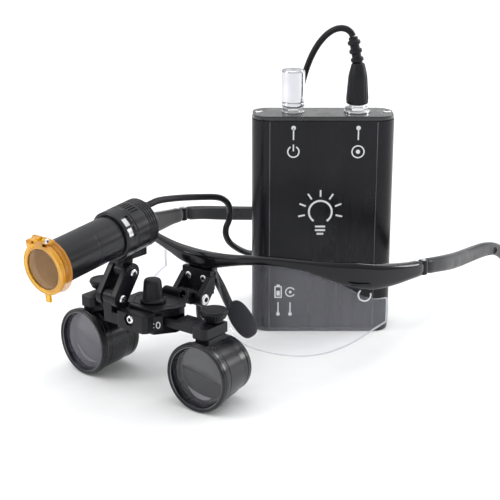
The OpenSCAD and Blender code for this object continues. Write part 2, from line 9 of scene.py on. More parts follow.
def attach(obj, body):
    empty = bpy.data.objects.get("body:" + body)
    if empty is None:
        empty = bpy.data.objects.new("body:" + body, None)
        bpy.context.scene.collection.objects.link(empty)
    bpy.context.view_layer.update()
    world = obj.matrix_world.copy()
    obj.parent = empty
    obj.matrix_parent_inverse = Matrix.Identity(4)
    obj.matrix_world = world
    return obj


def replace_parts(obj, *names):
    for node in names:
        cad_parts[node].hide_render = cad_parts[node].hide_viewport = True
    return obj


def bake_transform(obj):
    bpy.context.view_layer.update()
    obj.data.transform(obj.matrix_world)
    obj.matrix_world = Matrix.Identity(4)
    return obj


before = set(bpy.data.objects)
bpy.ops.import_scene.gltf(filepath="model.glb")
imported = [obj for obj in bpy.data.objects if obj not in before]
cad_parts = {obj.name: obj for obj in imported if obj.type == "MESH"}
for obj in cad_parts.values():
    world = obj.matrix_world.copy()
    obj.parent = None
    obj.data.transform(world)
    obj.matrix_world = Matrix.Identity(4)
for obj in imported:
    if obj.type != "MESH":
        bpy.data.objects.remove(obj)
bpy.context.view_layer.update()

# Lengths below are millimetres in the part's own layout; these places turn them into the row frame
MM = 0.001
ORIGIN_Y = 99
ROW = Matrix.Scale(MM, 4) @ Matrix.Translation((0, -ORIGIN_Y, 0))
POST_X, POST_Y = 32, 13.5
BARREL_Z = 15
BARREL_LEN = 24
YAW = {"left": 3, "right": 6}
SIDE = {"left": 1, "right": -1}
LIGHT_X = -13.4
LIGHT_LEN = 54.5
TUBE_R, HOUSING_R = 9.2, 10.8
SLEEVE_FROM, SLEEVE_TO = LIGHT_LEN - 1.5, LIGHT_LEN + 1.4
FLAP_FROM = SLEEVE_TO + 0.4
FILTER_HINGE = (12.6, SLEEVE_TO + 1.5)
PACK_W, PACK_D, PACK_H, PACK_CORNER = 66.5, 23, 105.5, 8
KNOB_U, JACK_U, ROW_V = -14, 16, 11.5
CORD_R = 1.5
MARK_LOW, MARK_HIGH = -0.02, 0.07
HUB_BOTTOM, HUB_TOP, COVER_TOP = 27, 37.2, 38.4
PINION_Y = 11.2
FLIP = (35.4, 34.2)
LINK_LOW, LINK_UP = (0.1, 40.8), (7.3, 50.6)


def turn(axis, degrees):
    return Matrix.Rotation(math.radians(degrees), 4, axis)


def move(x, y, z):
    return Matrix.Translation((x, y, z))


LIGHT = ROW @ move(LIGHT_X, 19.6, 69.7) @ turn("X", 96.7)
PACK = ROW @ move(20.3, 108, 0) @ turn("Z", 38)


def barrel_place(side):
    """A barrel's front end, +Z running back along it to the eye."""
    s = SIDE[side]
    swivel = move(s * POST_X, POST_Y, 0) @ turn("Z", s * YAW[side])
    return ROW @ swivel @ move(0, -POST_Y, BARREL_Z) @ turn("X", -90)


def across(x, y, z):
    """A place whose +Z runs along +X from the given point."""
    return ROW @ move(x, y, z) @ turn("Y", 90) @ turn("Z", 90)


# ---- Camera ----
camera_data = bpy.data.cameras.new("camera")
camera_data.lens = 90
camera_data.clip_start = 0.01
camera = bpy.data.objects.new("camera", camera_data)
camera.location = ROW @ Vector((342.4, -359.7, 220))
camera_down, camera_round = 17.5, 38
camera.rotation_euler = (math.radians(90 - camera_down), 0, math.radians(camera_round))
bpy.context.scene.collection.objects.link(camera)
bpy.context.scene.camera = camera


# ---- Materials ----
NOISE_LOW, NOISE_HIGH = 0.35, 0.65
FINISH = {}


class Nodes:
    """A node tree, with short calls for what the finishes and the sky share."""

    def __init__(self, tree, coordinates="Object"):
        self.tree = tree
        self.place = self.add("ShaderNodeTexCoord").outputs[coordinates]

    def add(self, kind, **settings):
        node = self.tree.nodes.new(kind)
        for key, value in settings.items():
            setattr(node, key, value)
        return node

    def link(self, source, target):
        self.tree.links.new(source, target)

    def axis(self, letter):
        """How far the shaded point lies along one axis."""
        split = self.add("ShaderNodeSeparateXYZ")
        self.link(self.place, split.inputs["Vector"])
        return split.outputs[letter]

    def noise(self, per_mm, detail, stretch=(1, 1, 1)):
        """Noise with per_mm cycles in a millimetre, stretched along the axes."""
        scaling = self.add("ShaderNodeMapping")
        scaling.inputs["Scale"].default_value = [1000 * per_mm * s for s in stretch]
        noise = self.add("ShaderNodeTexNoise")
        noise.inputs["Scale"].default_value = 1
        noise.inputs["Detail"].default_value = detail
        self.link(self.place, scaling.inputs["Vector"])
        self.link(scaling.outputs["Vector"], noise.inputs["Vector"])
        return noise.outputs["Fac"]

    def spread(self, source, low, high, start=NOISE_LOW, end=NOISE_HIGH):
        """The source's values from start to end, laid over low to high."""
        span = self.add("ShaderNodeMapRange")
        for socket, value in (("From Min", start), ("From Max", end), ("To Min", low), ("To Max", high)):
            span.inputs[socket].default_value = value
        self.link(source, span.inputs["Value"])
        return span.outputs["Result"]

    def mix(self, source, *colours):
        ramp = self.add("ShaderNodeValToRGB")
        for stop, position, colour in zip(ramp.color_ramp.elements, (NOISE_LOW, NOISE_HIGH), colours):
            stop.position = position
            stop.color = (*colour, 1)
        self.link(source, ramp.inputs["Fac"])
        return ramp.outputs["Color"]

    def bump(self, source, strength, depth_mm):
        bump = self.add("ShaderNodeBump")
        bump.inputs["Strength"].default_value = strength
        bump.inputs["Distance"].default_value = depth_mm * MM
        self.link(source, bump.inputs["Height"])
        return bump.outputs["Normal"]


def finish(name, colour, shade, rough, grain_per_mm, depth_mm, metallic=0.0, coat=0.0,
           stretch=(1, 1, 1), strength=0.35, **sockets):
    """A finish whose colour drifts to shade and whose roughness drifts over rough, with a fine grain."""
    material = bpy.data.materials.new(name)
    material.use_nodes = True
    material.diffuse_color = (*colour, 1)
    shader = material.node_tree.nodes["Principled BSDF"]
    n = Nodes(material.node_tree)
    n.link(n.mix(n.noise(0.06, 5), colour, shade), shader.inputs["Base Color"])
    n.link(n.spread(n.noise(0.12, 6, stretch), *rough), shader.inputs["Roughness"])
    n.link(n.bump(n.noise(grain_per_mm, 3, stretch), strength, depth_mm), shader.inputs["Normal"])
    settings = {"Metallic": metallic, "Coat_Weight": coat, "Coat_Roughness": 0.08, **sockets}
    for socket, value in settings.items():
        shader.inputs[socket.replace("_", " ")].default_value = value
    if "Alpha" in sockets:
        material.surface_render_method = "BLENDED"
    FINISH[name] = material


def black(name, level, drift, rough, grain_per_mm, depth_mm, **sockets):
    """A black plastic or paint with a weak reflection, a touch bluer than neutral."""
    sockets.setdefault("Specular_IOR_Level", 0.24)
    finish(name, grey(level, 1.3), grey(drift, 1.3), rough, grain_per_mm, depth_mm, **sockets)


def grey(level, blue=1.08):
    return (level, level, level * blue)


def painted_veil_towards_temples(name, start_mm, end_mm, near_nose, near_temple):
    """Paints a lens finish's reflection: it shows less over the nose and more towards the temples."""
    tree = FINISH[name].node_tree
    n = Nodes(tree)
    distance = n.add("ShaderNodeMath", operation="ABSOLUTE")
    n.link(n.axis("X"), distance.inputs[0])
    alpha = n.spread(distance.outputs["Value"], near_nose, near_temple, start_mm * MM, end_mm * MM)
    n.link(alpha, tree.nodes["Principled BSDF"].inputs["Alpha"])


black("frame_gloss", 0.004, 0.007, (0.1, 0.18), 0.25, 0.02, coat=0.12)
black("temple_satin", 0.006, 0.011, (0.26, 0.38), 3, 0.02)
black("pad_rubber", 0.008, 0.014, (0.44, 0.58), 2.5, 0.03)
black("satin_black", 0.006, 0.011, (0.26, 0.4), 4, 0.03, strength=0.5)
finish("bright_steel", grey(0.72, 1.02), grey(0.82, 1.01), (0.14, 0.3), 3, 0.01, metallic=1.0)
black("knob_black", 0.006, 0.01, (0.34, 0.48), 4, 0.03, strength=0.5)
black("anodised_black", 0.005, 0.009, (0.2, 0.32), 3, 0.02, stretch=(1, 0.15, 1), Specular_IOR_Level=0.4)
# Black for painted shade: the wing slits, screw sockets, cover groove and the shade behind the front glass
black("painted_shade_black", 0.008, 0.014, (0.5, 0.6), 3, 0.03)
finish("board_white", (0.8, 0.8, 0.76), (0.7, 0.7, 0.67), (0.4, 0.5), 4, 0.02)
black("cord_black", 0.006, 0.01, (0.32, 0.46), 2, 0.03)
black("pack_black", 0.005, 0.008, (0.24, 0.34), 5, 0.02, stretch=(1, 1, 0.06), strength=0.22)
finish("plate_grey", grey(0.014), grey(0.022), (0.16, 0.28), 2, 0.02, coat=0.1)
finish("cell_wrap", (0.08, 0.22, 0.5), (0.1, 0.26, 0.56), (0.25, 0.35), 1, 0.03)
# Painted highlight for the pack's front creases
finish("painted_crease_highlight", grey(0.035, 1.2), grey(0.1, 1.2), (0.2, 0.35), 3, 0.02, stretch=(1, 1, 0.1))
finish("board_green", (0.03, 0.2, 0.07), (0.05, 0.26, 0.1), (0.25, 0.4), 2, 0.05)
finish("knob_chrome", grey(0.6, 1.05), grey(0.72, 1.04), (0.08, 0.18), 4, 0.008, metallic=1.0,
       stretch=(1, 1, 0.1))
finish("print_white", (0.78, 0.79, 0.8), (0.7, 0.71, 0.72), (0.45, 0.55), 6, 0.01)
finish("amber_plastic", (1.0, 0.6, 0.008), (1.0, 0.52, 0.005), (0.08, 0.16), 1, 0.02, coat=0.4,
       Transmission_Weight=0.6, IOR=1.49)
finish("amber_sleeve", (0.85, 0.36, 0.006), (0.7, 0.28, 0.004), (0.08, 0.16), 1, 0.02, coat=0.6,
       Alpha=0.5)
finish("amber_glass", (0.3, 0.15, 0.035), (0.25, 0.12, 0.03), (0.05, 0.1), 0.5, 0.005, Alpha=0.62)
finish("coated_glass", (0.05, 0.05, 0.058), (0.07, 0.07, 0.08), (0.03, 0.07), 0.05, 0.01, coat=1.0,
       Coat_IOR=1.7, Alpha=0.3)
finish("violet_glass", (0.1, 0.09, 0.125), (0.12, 0.11, 0.15), (0.03, 0.07), 0.05, 0.01, coat=1.0,
       Coat_IOR=1.9, Alpha=0.4)
finish("inner_glass", (0.16, 0.16, 0.17), (0.2, 0.2, 0.21), (0.06, 0.14), 0.05, 0.01, coat=1.0)
# Light grey for the painted reflections inside the barrels
finish("painted_glint_white", (0.7, 0.7, 0.75), (0.8, 0.8, 0.84), (0.2, 0.3), 0.2, 0.01)
finish("dark_chrome", grey(0.09), grey(0.15), (0.1, 0.2), 3, 0.01, metallic=1.0)
finish("clear_lens", (0.74, 0.74, 0.84), (0.78, 0.78, 0.87), (0.03, 0.07), 0.05, 0.005, strength=0.0,
       Alpha=0.07)
# The lens rim's light grey is a painted highlight along its edge, graded to show more towards the temples
finish("lens_rim_painted_highlight", (0.6, 0.6, 0.65), (0.7, 0.7, 0.75), (0.08, 0.16), 1, 0.01, Alpha=0.8)
# The lens's lavender tint is its own colour; how strongly its veil shows across the lens is a painted
# reflection
painted_veil_towards_temples("clear_lens", 22, 42, 0.008, 0.07)
painted_veil_towards_temples("lens_rim_painted_highlight", 14, 24, 0.12, 0.85)


# ---- Mesh helpers ----
def bends_less(edge, degrees):
    return len(edge.link_faces) == 2 and edge.calc_face_angle(0) < math.radians(degrees)


def mark_edges(bm):
    """Smooth faces that meet in a crisp line where they bend sharply."""
    for face in bm.faces:
        face.smooth = True
    for edge in bm.edges:
        edge.smooth = bends_less(edge, 38)


def piece(name, parts, place, body, finish_name, bevel=0.0, replaces=()):
    """One object from bmesh parts in millimetres, laid at place, bevelled, riding on body."""
    mesh = bpy.data.meshes.new(name)
    whole = bmesh.new()
    for part in parts:
        scratch = bpy.data.meshes.new("scratch")
        part.to_mesh(scratch)
        part.free()
        whole.from_mesh(scratch)
        bpy.data.meshes.remove(scratch)
    bmesh.ops.recalc_face_normals(whole, faces=whole.faces)
    if bevel:
        sharp = [e for e in whole.edges if len(e.link_faces) == 2 and not bends_less(e, 34)]
        bmesh.ops.bevel(whole, geom=sharp, offset=bevel, segments=2, profile=0.6, affect="EDGES",
                        clamp_overlap=True)
    mark_edges(whole)
    whole.to_mesh(mesh)
    whole.free()
    mesh.transform(place)
    mesh.materials.append(FINISH[finish_name])
    obj = bpy.data.objects.new(name, mesh)
    bpy.context.scene.collection.objects.link(obj)
    obj.modifiers.new("even_shading", "WEIGHTED_NORMAL").keep_sharp = True
    if body:
        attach(obj, body)
    if replaces:
        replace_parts(obj, *replaces)
    return obj


def moved(bm, place):
    bm.transform(place)
    return bm


def arc(centre, radius, start, sweep, steps):
    """Points along an arc, its angles in degrees."""
    angles = [math.radians(start + sweep * k / steps) for k in range(steps + 1)]
    return [(centre[0] + radius * math.cos(a), centre[1] + radius * math.sin(a)) for a in angles]


def rounded(profile, radius=0.25, steps=3):
    """A lathe profile with its inner corners rounded."""
    points = [profile[0]]
    for before, here, after in zip(profile, profile[1:], profile[2:]):
        a, b, c = Vector(before), Vector(here), Vector(after)
        reach = min(radius, 0.45 * (a - b).length, 0.45 * (c - b).length)
        start, end = b + (a - b).normalized() * reach, b + (c - b).normalized() * reach
        for k in range(steps + 1):
            t = k / steps
            points.append(tuple((1 - t) ** 2 * start + 2 * t * (1 - t) * b + t * t * end))
    return points + [profile[-1]]


def lathe(profile, sides=80, radius=0.25, ripple=None):
    """A turned solid: profile is (radius, height) along +Z; ripple(angle, height) adds to the radius."""
    bm = bmesh.new()
    rings = []
    for r, z in rounded(profile, radius):
        if r < 1e-4:
            rings.append([bm.verts.new((0, 0, z))])
            continue
        ring = []
        for k in range(sides):
            angle = 2 * math.pi * k / sides
            out = r + (ripple(angle, z) if ripple else 0)
            ring.append(bm.verts.new((out * math.cos(angle), out * math.sin(angle), z)))
        rings.append(ring)
    loft(bm, rings, caps=False)
    closed = (rings[0][0].co - rings[-1][0].co).length < 1e-6
    for end in (rings[0], rings[-1]):
        if len(end) > 1 and not closed:
            bm.faces.new(end)
    bmesh.ops.remove_doubles(bm, verts=bm.verts, dist=1e-4)
    return bm


def join_rings(bm, low, high):
    count = max(len(low), len(high))
    for k in range(count):
        a, b = low[k % len(low)], low[(k + 1) % len(low)]
        c, d = high[(k + 1) % len(high)], high[k % len(high)]
        corners = list(dict.fromkeys((a, b, c, d)))
        if len(corners) > 2:
            bm.faces.new(corners)


def loft(bm, rings, caps=True):
    """Joins each ring of points to the next, with a face over both ends if there are caps."""
    for low, high in zip(rings, rings[1:]):
        join_rings(bm, low, high)
    if caps:
        bm.faces.new(rings[0])
        bm.faces.new(rings[-1])
    return bm


def prism(outline, low, high):
    """An upright solid on a flat outline."""
    bm = bmesh.new()
    return loft(bm, [[bm.verts.new((x, y, z)) for x, y in outline] for z in (low, high)])


def block(low, high):
    """A box between two opposite corners."""
    (x0, y0, z0), (x1, y1, z1) = low, high
    return prism([(x0, y0), (x1, y0), (x1, y1), (x0, y1)], z0, z1)


def disc(centre, radius, sides=40):
    return arc(centre, radius, 0, 360, sides)[:-1]


def side_prism(outline, low, high):
    """A prism whose outline lies in the plane across the wearer, from x = low to x = high."""
    return moved(prism(outline, low, high), turn("Y", 90) @ turn("Z", 90))


def rod(radius, length, sides):
    return lathe([(0, 0), (radius, 0), (radius, length), (0, length)], sides, 0.1)


def wrap(points):
    """The outline of a band stretched round the points."""
    return [points[i] for i in geometry.convex_hull_2d(points)]


def cut(obj, place, *cutters):
    """Takes the cutters, bmesh solids laid at place, out of obj."""
    for bm in cutters:
        mesh = bpy.data.meshes.new("cutter")
        moved(bm, place).to_mesh(mesh)
        bm.free()
        tool = bpy.data.objects.new("cutter", mesh)
        bpy.context.scene.collection.objects.link(tool)
        step = obj.modifiers.new("cut", "BOOLEAN")
        step.object = tool
        step.solver = "EXACT"
        bpy.context.view_layer.update()
        evaluated = obj.evaluated_get(bpy.context.evaluated_depsgraph_get())
        result = bpy.data.meshes.new_from_object(evaluated)
        obj.modifiers.remove(step)
        clean = bmesh.new()
        clean.from_mesh(result)
        mark_edges(clean)
        clean.to_mesh(result)
        clean.free()
        obj.data = result
        bpy.data.objects.remove(tool)
    return obj


def curve_point(points, i, t):
    """A point on the smooth curve through points, a share t of the way from point i to the next."""
    last = len(points) - 1
    a, b, c, d = (Vector(points[min(max(k, 0), last)]) for k in (i - 1, i, i + 1, i + 2))
    return b + 0.5 * t * ((c - a) + t * ((2 * a - 5 * b + 4 * c - d) + t * (3 * (b - c) + d - a)))


def smooth(points, steps):
    line = [curve_point(points, i, k / steps) for i in range(len(points) - 1) for k in range(steps)]
    return line + [Vector(points[-1])]


def tube(line, radius, sides=16, caps=True):
    """A round tube along line; radius is a number or a function of the share of the way along."""
    bm = bmesh.new()
    rings = []
    last = len(line) - 1
    for i, point in enumerate(line):
        way = (line[min(i + 1, last)] - line[max(i - 1, 0)]).normalized()
        if i == 0:
            across_way = way.orthogonal().normalized()
        across_way = (across_way - across_way.dot(way) * way).normalized()
        other = way.cross(across_way)
        r = radius(i / last) if callable(radius) else radius
        rings.append([bm.verts.new(point + x * across_way + y * other) for x, y in disc((0, 0), r, sides)])
    return loft(bm, rings, caps)


# ---- Cord: headlight, links, hub, then the coil behind the pack, and up to the plug ----
# The head run is in the layout's millimetres, the riser and the coil in the pack's own
HEAD_ROUTE = [(-13.4, 22.9, 75.7), (-13.4, 26.4, 76.2), (-13.6, 32, 76.4), (-14.5, 44.9, 74.5),
              (-15.5, 59.2, 71.7), (-17, 73.8, 68.4), (-18, 80.9, 65.7), (-19, 85.9, 62.1), (-20, 88.6, 57.3),
              (-20.5, 88.4, 53.3), (-21, 86.8, 49.8), (-21.6, 87.4, 45.8), (-22.6, 91.6, 40.8),
              (-24, 99.7, 35.4), (-25.6, 108.4, 31), (-27.4, 117.4, 27.4), (-29.4, 125.4, 23),
              (-31, 131.4, 17), (-31.9, 135, 10.4), (-32, 137.4, 4.8), (-31.4, 140, 2), (-30, 142.6, 1.6)]
RISER_ROUTE = [(13.2, 11.5, 140.8), (12.4, 11.7, 142.4), (10.4, 12.2, 143.9), (7.6, 13.1, 144.3),
               (4.4, 14.6, 143.2), (1, 16.6, 140.4), (-2.6, 19.4, 135.4), (-5.8, 22.6, 128.4),
               (-8.4, 25.6, 119.6), (-10.6, 27.4, 108.4), (-12.4, 28.2, 94), (-13.6, 28.4, 78),
               (-14.2, 28.4, 60), (-14.2, 28.4, 42), (-13.6, 28, 28), (-12, 27.6, 19), (-9.6, 27.4, 13.4),
               (-7.2, 27.4, 10.6)]
COIL_PLACE = (-7.2, 45)
COIL_INNER, COIL_OUTER = 15, 18
COIL_TURNS = 6
# Points of the head run where the links end, where the hub ends and where the cord stops moving
LINKS_END, HUB_END, BEND_END = 4, 8, 16


def ease(t):
    """A gentle step from 0 to 1 while t runs from 0 to 1."""
    t = min(max(t, 0), 1)
    return t * t * (3 - 2 * t)


def coil_line(start, end):
    """Turns from the head run's end round to the riser's foot, each layer stepping in, up and out again."""
    centre = ROW.inverted() @ (PACK @ Vector((*COIL_PLACE, 0)))
    arms = [p - centre for p in (start, end)]
    angles = [math.atan2(a.y, a.x) for a in arms]
    radii = [math.hypot(a.x, a.y) for a in arms]
    stops = [(COIL_OUTER, 0), (COIL_INNER, 0), (COIL_INNER, 1), (COIL_OUTER, 1), (COIL_OUTER, 2),
             (COIL_INNER, 2), (COIL_INNER, 3), (radii[1], 3)]
    first_step, step_every, step_span, lead_in = 0.8, 0.9, 0.1, 0.15
    turns = COIL_TURNS + ((angles[0] - angles[1]) / (2 * math.pi)) % 1
    line = []
    count = int(turns * 40)
    for k in range(1, count):
        t = turns * k / count
        step = sum(ease((t - first_step - step_every * i) / step_span) for i in range(len(stops) - 1))
        i = min(int(step), len(stops) - 2)
        radius, layer = Vector(stops[i]).lerp(Vector(stops[i + 1]), step - i)
        height = CORD_R + 2 * CORD_R * layer
        early, late = 1 - ease(t / lead_in), ease((t - turns) / step_span + 1)
        radius += (radii[0] - COIL_OUTER) * early
        height += (start.z - CORD_R) * early + (end.z - height) * late
        angle = angles[0] - 2 * math.pi * t
        line.append(centre + Vector((radius * math.cos(angle), radius * math.sin(angle), height)))
    return line


def cord_piece(name, line, replaces=()):
    """A length of cord along line, laid in the row frame; returns the row-frame point where it ends."""
    obj = piece(name, [tube(line, CORD_R)], ROW, None, "cord_black", replaces=replaces)
    row_line = [ROW @ p for p in line]
    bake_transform(obj)
    return row_line[-1]


STEPS = 4
head_line = smooth(HEAD_ROUTE, STEPS)
riser_line = [ROW.inverted() @ (PACK @ p) for p in smooth(RISER_ROUTE, STEPS)]
coil = coil_line(head_line[-1], riser_line[-1])
cut_a, cut_b = LINKS_END * STEPS, HUB_END * STEPS
links_exit = cord_piece("cord_at_headlight", head_line[:cut_a + 1])
hub_exit = cord_piece("cord_over_hub", head_line[cut_a:cut_b + 1])
coil_end = cord_piece("cord_to_coil", head_line[cut_b:] + coil,
                      ["cord_head", "cord_coil"])


# ---- Spectacle frame ----
# Stations along the brow and a temple: x, y, z, half the thickness and half the height
BROW = [(0, 41.6, 50.2, 3.2, 3.6), (8, 41.8, 50.6, 3, 3.4), (16, 42.8, 51.8, 2.3, 2.6),
        (26, 44.4, 53.5, 1.8, 2.1), (38, 48.4, 54.2, 1.7, 2.1), (49, 54.6, 53, 1.8, 2.6),
        (57, 62.2, 50.2, 1.9, 4.2), (62.6, 71, 47.4, 2, 5.6), (66.4, 81, 44.8, 2.2, 5.8),
        (69.2, 92, 43.4, 2.4, 5), (71.2, 103, 42.6, 2.4, 4), (72, 112.4, 41.9, 2.3, 3.6)]
TEMPLE = [(72, 115.6, 41.6, 2.3, 3.5), (71.6, 128, 39.4, 2.2, 3.6), (69.6, 142, 36.4, 2.1, 3.8),
          (66.6, 157, 33.4, 2, 3.8), (63.2, 172, 30.6, 2, 3.8), (60.8, 187, 28.4, 2, 3.7),
          (59, 201, 26.2, 2, 3.6), (57.6, 213.4, 23, 2.1, 3.4), (56.6, 225, 17.4, 2.1, 3.3),
          (55.8, 235.4, 10, 2.1, 3.2), (55.2, 243, 3, 2, 3)]
# Columns across a lens: x, y, foot and head
LENS = [(9, 42.9, 44, 48.8), (11, 43, 36, 49), (13.5, 43.2, 28, 49.4), (16, 43.5, 21, 49.8),
        (20, 43.9, 15.6, 50.4), (27, 45, 12.8, 51.6), (38, 48.8, 11.4, 52), (48, 54.2, 11.2, 50.4),
        (55.4, 61, 12.2, 46.4), (60.2, 69.6, 14, 41.6), (62.8, 77.6, 16, 36), (65, 86, 18.5, 32.6),
        (66.4, 93.4, 20, 31.5)]


def smooth_rows(rows, steps):
    """Rows of any number of values, smoothed as one curve."""
    columns = [smooth([(value, 0, 0) for value in column], steps) for column in zip(*rows)]
    return [tuple(point.x for point in row) for row in zip(*columns)]


def band(stations, squareness, sides, lip=0.0):
    """A moulded upright band with a rounded section; lip raises a line along its outer face."""
    bm = bmesh.new()
    rings = []
    last = len(stations) - 1
    for i, (x, y, z, half_t, half_h) in enumerate(stations):
        side = outward(stations, i)
        close = 0.72 + 0.28 * min(i / 2, (last - i) / 2, 1)
        ring = []
        for k in range(sides):
            angle = 2 * math.pi * (k + 0.5) / sides
            u = power(math.cos(angle), squareness)
            w = power(math.sin(angle), squareness)
            crown = 1 - lip * ease((abs(w) - 0.55) / 0.4) if u > 0 else 1
            point = Vector((x, y, z + w * half_h * close)) + side * (u * half_t * close * crown)
            ring.append(bm.verts.new(point))
        rings.append(ring)
    return loft(bm, rings)


def outward(stations, i):
    """The level direction square to a run of stations at station i, away from the face."""
    a, b = stations[max(i - 1, 0)], stations[min(i + 1, len(stations) - 1)]
    way = Vector((b[0] - a[0], b[1] - a[1], 0)).normalized()
    return Vector((way.y, -way.x, 0))


def power(value, exponent):
    return math.copysign(abs(value) ** exponent, value)


def mirror_x(bm, side):
    if side < 0:
        bm.transform(Matrix.Scale(-1, 4, (1, 0, 0)))
        bmesh.ops.reverse_faces(bm, faces=bm.faces)
    return bm


def build_brow():
    mirrored = [(-r[0], *r[1:]) for r in BROW[:0:-1]]
    piece("brow", [band(smooth_rows(mirrored + BROW, 5), 0.5, 32, 0.18)], ROW, "frame", "frame_gloss",
          replaces=["frame_front"])
    run_x, run_y = BROW[8][0] - BROW[7][0], BROW[8][1] - BROW[7][1]
    place = move(65.9, 72, 0) @ turn("Z", -math.degrees(math.atan2(run_x, run_y))) @ move(0, -70, 0)
    for side in SIDE.values():
        # Each slit is a thin dark strip on the wing, painted shade standing for the slot
        slit = side_prism(wrap(disc((65.2, 43.9), 0.55, 16) + disc((75, 42.4), 0.55, 16)), 0, 0.5)
        piece("wing_slot", [mirror_x(moved(slit, place), side)], ROW, "frame", "painted_shade_black",
              bevel=0.12)


def build_temple(side_name):
    side = SIDE[side_name]
    body = "temple_" + side_name
    shell = band(smooth_rows(TEMPLE, 6), 0.5, 28, 0.12)
    piece("temple_arm", [mirror_x(shell, side)], ROW, body, "temple_satin",
          replaces=[body])
    cover = moved(lathe([(0, -3.3), (2.2, -3.3), (2.2, 3.3), (0, 3.3)], 32, 0.5), move(72 * side, 114, 41.7))
    piece("hinge_cover", [cover], ROW, body, "temple_satin")
    ring = [Vector((60.1, 209.4 + y, 23.6 + z)) for y, z in arc((0, 0), 1.5, 0, 360, 24)]
    pad = [(x - 1.4, y, z - 0.2, t * 0.55, h * 0.72) for x, y, z, t, h in TEMPLE[5:9]]
    parts = [band(smooth_rows(pad, 5), 0.6, 20), tube(ring, 0.4, 8, False)]
    piece("temple_tip_pad", [mirror_x(part, side) for part in parts], ROW, body, "pad_rubber")


def build_lens(side_name):
    """A curved sheet whose rim is a finish of its own, a painted highlight."""
    rows = smooth_rows(LENS, 4)
    levels, half_t, bulge = 10, 1, 0.3
    last = len(rows) - 1
    bm = bmesh.new()
    sheets = []
    for face in (1, -1):
        sheet = []
        for i, (x, y, low, high) in enumerate(rows):
            out = outward(rows, i)
            column = []
            for k in range(levels + 1):
                t = k / levels
                rim = 0.72 if k in (0, levels) or i in (0, last) else 1
                belly = bulge * (4 * t * (1 - t) - 1)
                point = Vector((x, y, low + (high - low) * t)) + out * (face * half_t * rim + belly)
                column.append(bm.verts.new(point))
            sheet.append(column)
        sheets.append(sheet)
    for sheet in sheets:
        for one, other in zip(sheet, sheet[1:]):
            for k in range(levels):
                bm.faces.new((one[k], other[k], other[k + 1], one[k + 1]))
    edges = []
    for sheet in sheets:
        foot, head = [column[0] for column in sheet], [column[-1] for column in sheet]
        edges.append(foot + sheet[-1][1:] + head[-2::-1] + sheet[0][-2:0:-1])
    before = len(bm.faces)
    join_rings(bm, *edges)
    bm.faces.ensure_lookup_table()
    for face in bm.faces[before:]:
        face.material_index = 1
    obj = piece("lens", [mirror_x(bm, SIDE[side_name])], ROW, "frame", "clear_lens",
                replaces=["lens_" + side_name])
    obj.data.materials.append(FINISH["lens_rim_painted_highlight"])


def pad_shape():
    """A soft nose pad: a flattened crowned drop."""
    bm = bmesh.new()
    rings = []
    for polar in (math.pi * i / 16 for i in range(1, 16)):
        width = math.sin(polar) ** 0.62
        rings.append([bm.verts.new((1.65 * width * power(c, 0.7), 5.1 * width * s, 10 * math.cos(polar)))
                      for c, s in disc((0, 0), 1, 32)])
    return loft(bm, rings)


def build_nose():
    pads = []
    arms = []
    for side in (-1, 1):
        place = move(side * 12.6, 56.5, 19.6) @ turn("Z", side * -37) @ turn("X", 30)
        pads.append(moved(pad_shape(), place))
        route = [(5.4, 45, 43.4), (7, 48.6, 36), (8.4, 52.6, 27), (9.8, 54.7, 23.8), (12, 56.3, 21.4)]
        arms.append(tube(smooth([(side * x, y, z) for x, y, z in route], 6), lambda t: 2.1 - 0.3 * t, 18))
    piece("nose_pad_pair", pads, ROW, "frame", "pad_rubber", replaces=["nose_pads"])
    seat = block((-6.9, 42.7, 40.6), (6.9, 46.4, 47.4))
    piece("nose_bridge_shell", [seat, *arms], ROW, "frame", "frame_gloss", bevel=0.35,
          replaces=["nose_bridge"])


def screw(place, body, radius, height, name="screw"):
    """A domed screw with a hexagon socket, its seat at the place's origin, facing +Z."""
    profile = [(0, 0), (radius, 0), (radius, 0.45 * height), (0.78 * radius, 0.9 * height), (0, height)]
    obj = piece(name, [lathe(profile, 32, 0.2)], place, body, "bright_steel")
    floor_z = 0.3 * height
    # The dark floor in the socket is painted shade
    socket = prism(disc((0, 0), 0.5 * radius, 6), floor_z - 0.1, floor_z)
    piece("screw_socket", [socket], place, body, "painted_shade_black")
    return cut(obj, place, prism(disc((0, 0), 0.52 * radius, 6), floor_z, 2 * height))


def build_bracket():
    plate = block((-8.1, 39.7, 34.9), (8.1, 42.5, 45.9))
    outline = wrap(disc(FLIP, 3.4) + [(39.6, 37.4), (42.5, 37.4), (42.5, 43.4), (39.6, 43.4)])
    ears = [side_prism(outline, x, x + 2.6) for x in (-8.6, 6)]
    piece("bridge_bracket_shell", [plate, *ears], ROW, "frame", "satin_black", bevel=0.35,
          replaces=["bridge_bracket"])
    heads = [screw(ROW @ move(x, 39.7, 42) @ turn("X", 90), "frame", 1.7, 0.85) for x in (-4.3, 4.3)]
    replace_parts(heads[0], "bridge_screws")
    pin = piece("flip_pin_rod", [rod(1.5, 17, 40)], across(-8.5, *FLIP), "frame", "bright_steel")
    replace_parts(pin, "flip_pin")
    screw(across(8.55, *FLIP), "frame", 2.5, 0.9)
    screw(ROW @ move(-8.55, *FLIP) @ turn("Y", -90), "frame", 2.5, 0.9)


# ---- Flip arm, hub and sliders ----
def build_flip_arm():
    lobes = [(FLIP, 2.6), ((31, 35), 2.6), ((24.6, 38.4), 2.6), ((22.6, 32), 2)]
    parts = [side_prism(disc(FLIP, 3.4), -5.6, 5.6)]
    for (a, ra), (b, rb) in zip(lobes, lobes[1:]):
        parts.append(side_prism(wrap(disc(a, ra) + disc(b, rb)), -5, 5))
    piece("flip_arm_shell", parts, ROW, "hub", "satin_black", bevel=0.4, replaces=["flip_arm"])


def hub_outline(inset):
    """The hub's plan, drawn in from its widest by inset."""
    wide = 13.6 - inset
    half = [(7.6 - inset / 2, 2.4 + inset), (wide, 11.6), (wide, 17), (9 - inset, 22.4 - inset)]
    return half + [(-x, y) for x, y in half[::-1]]


def link_room():
    return side_prism(disc(LINK_LOW, 4.7), LIGHT_X - 6.6, LIGHT_X + 7.4)


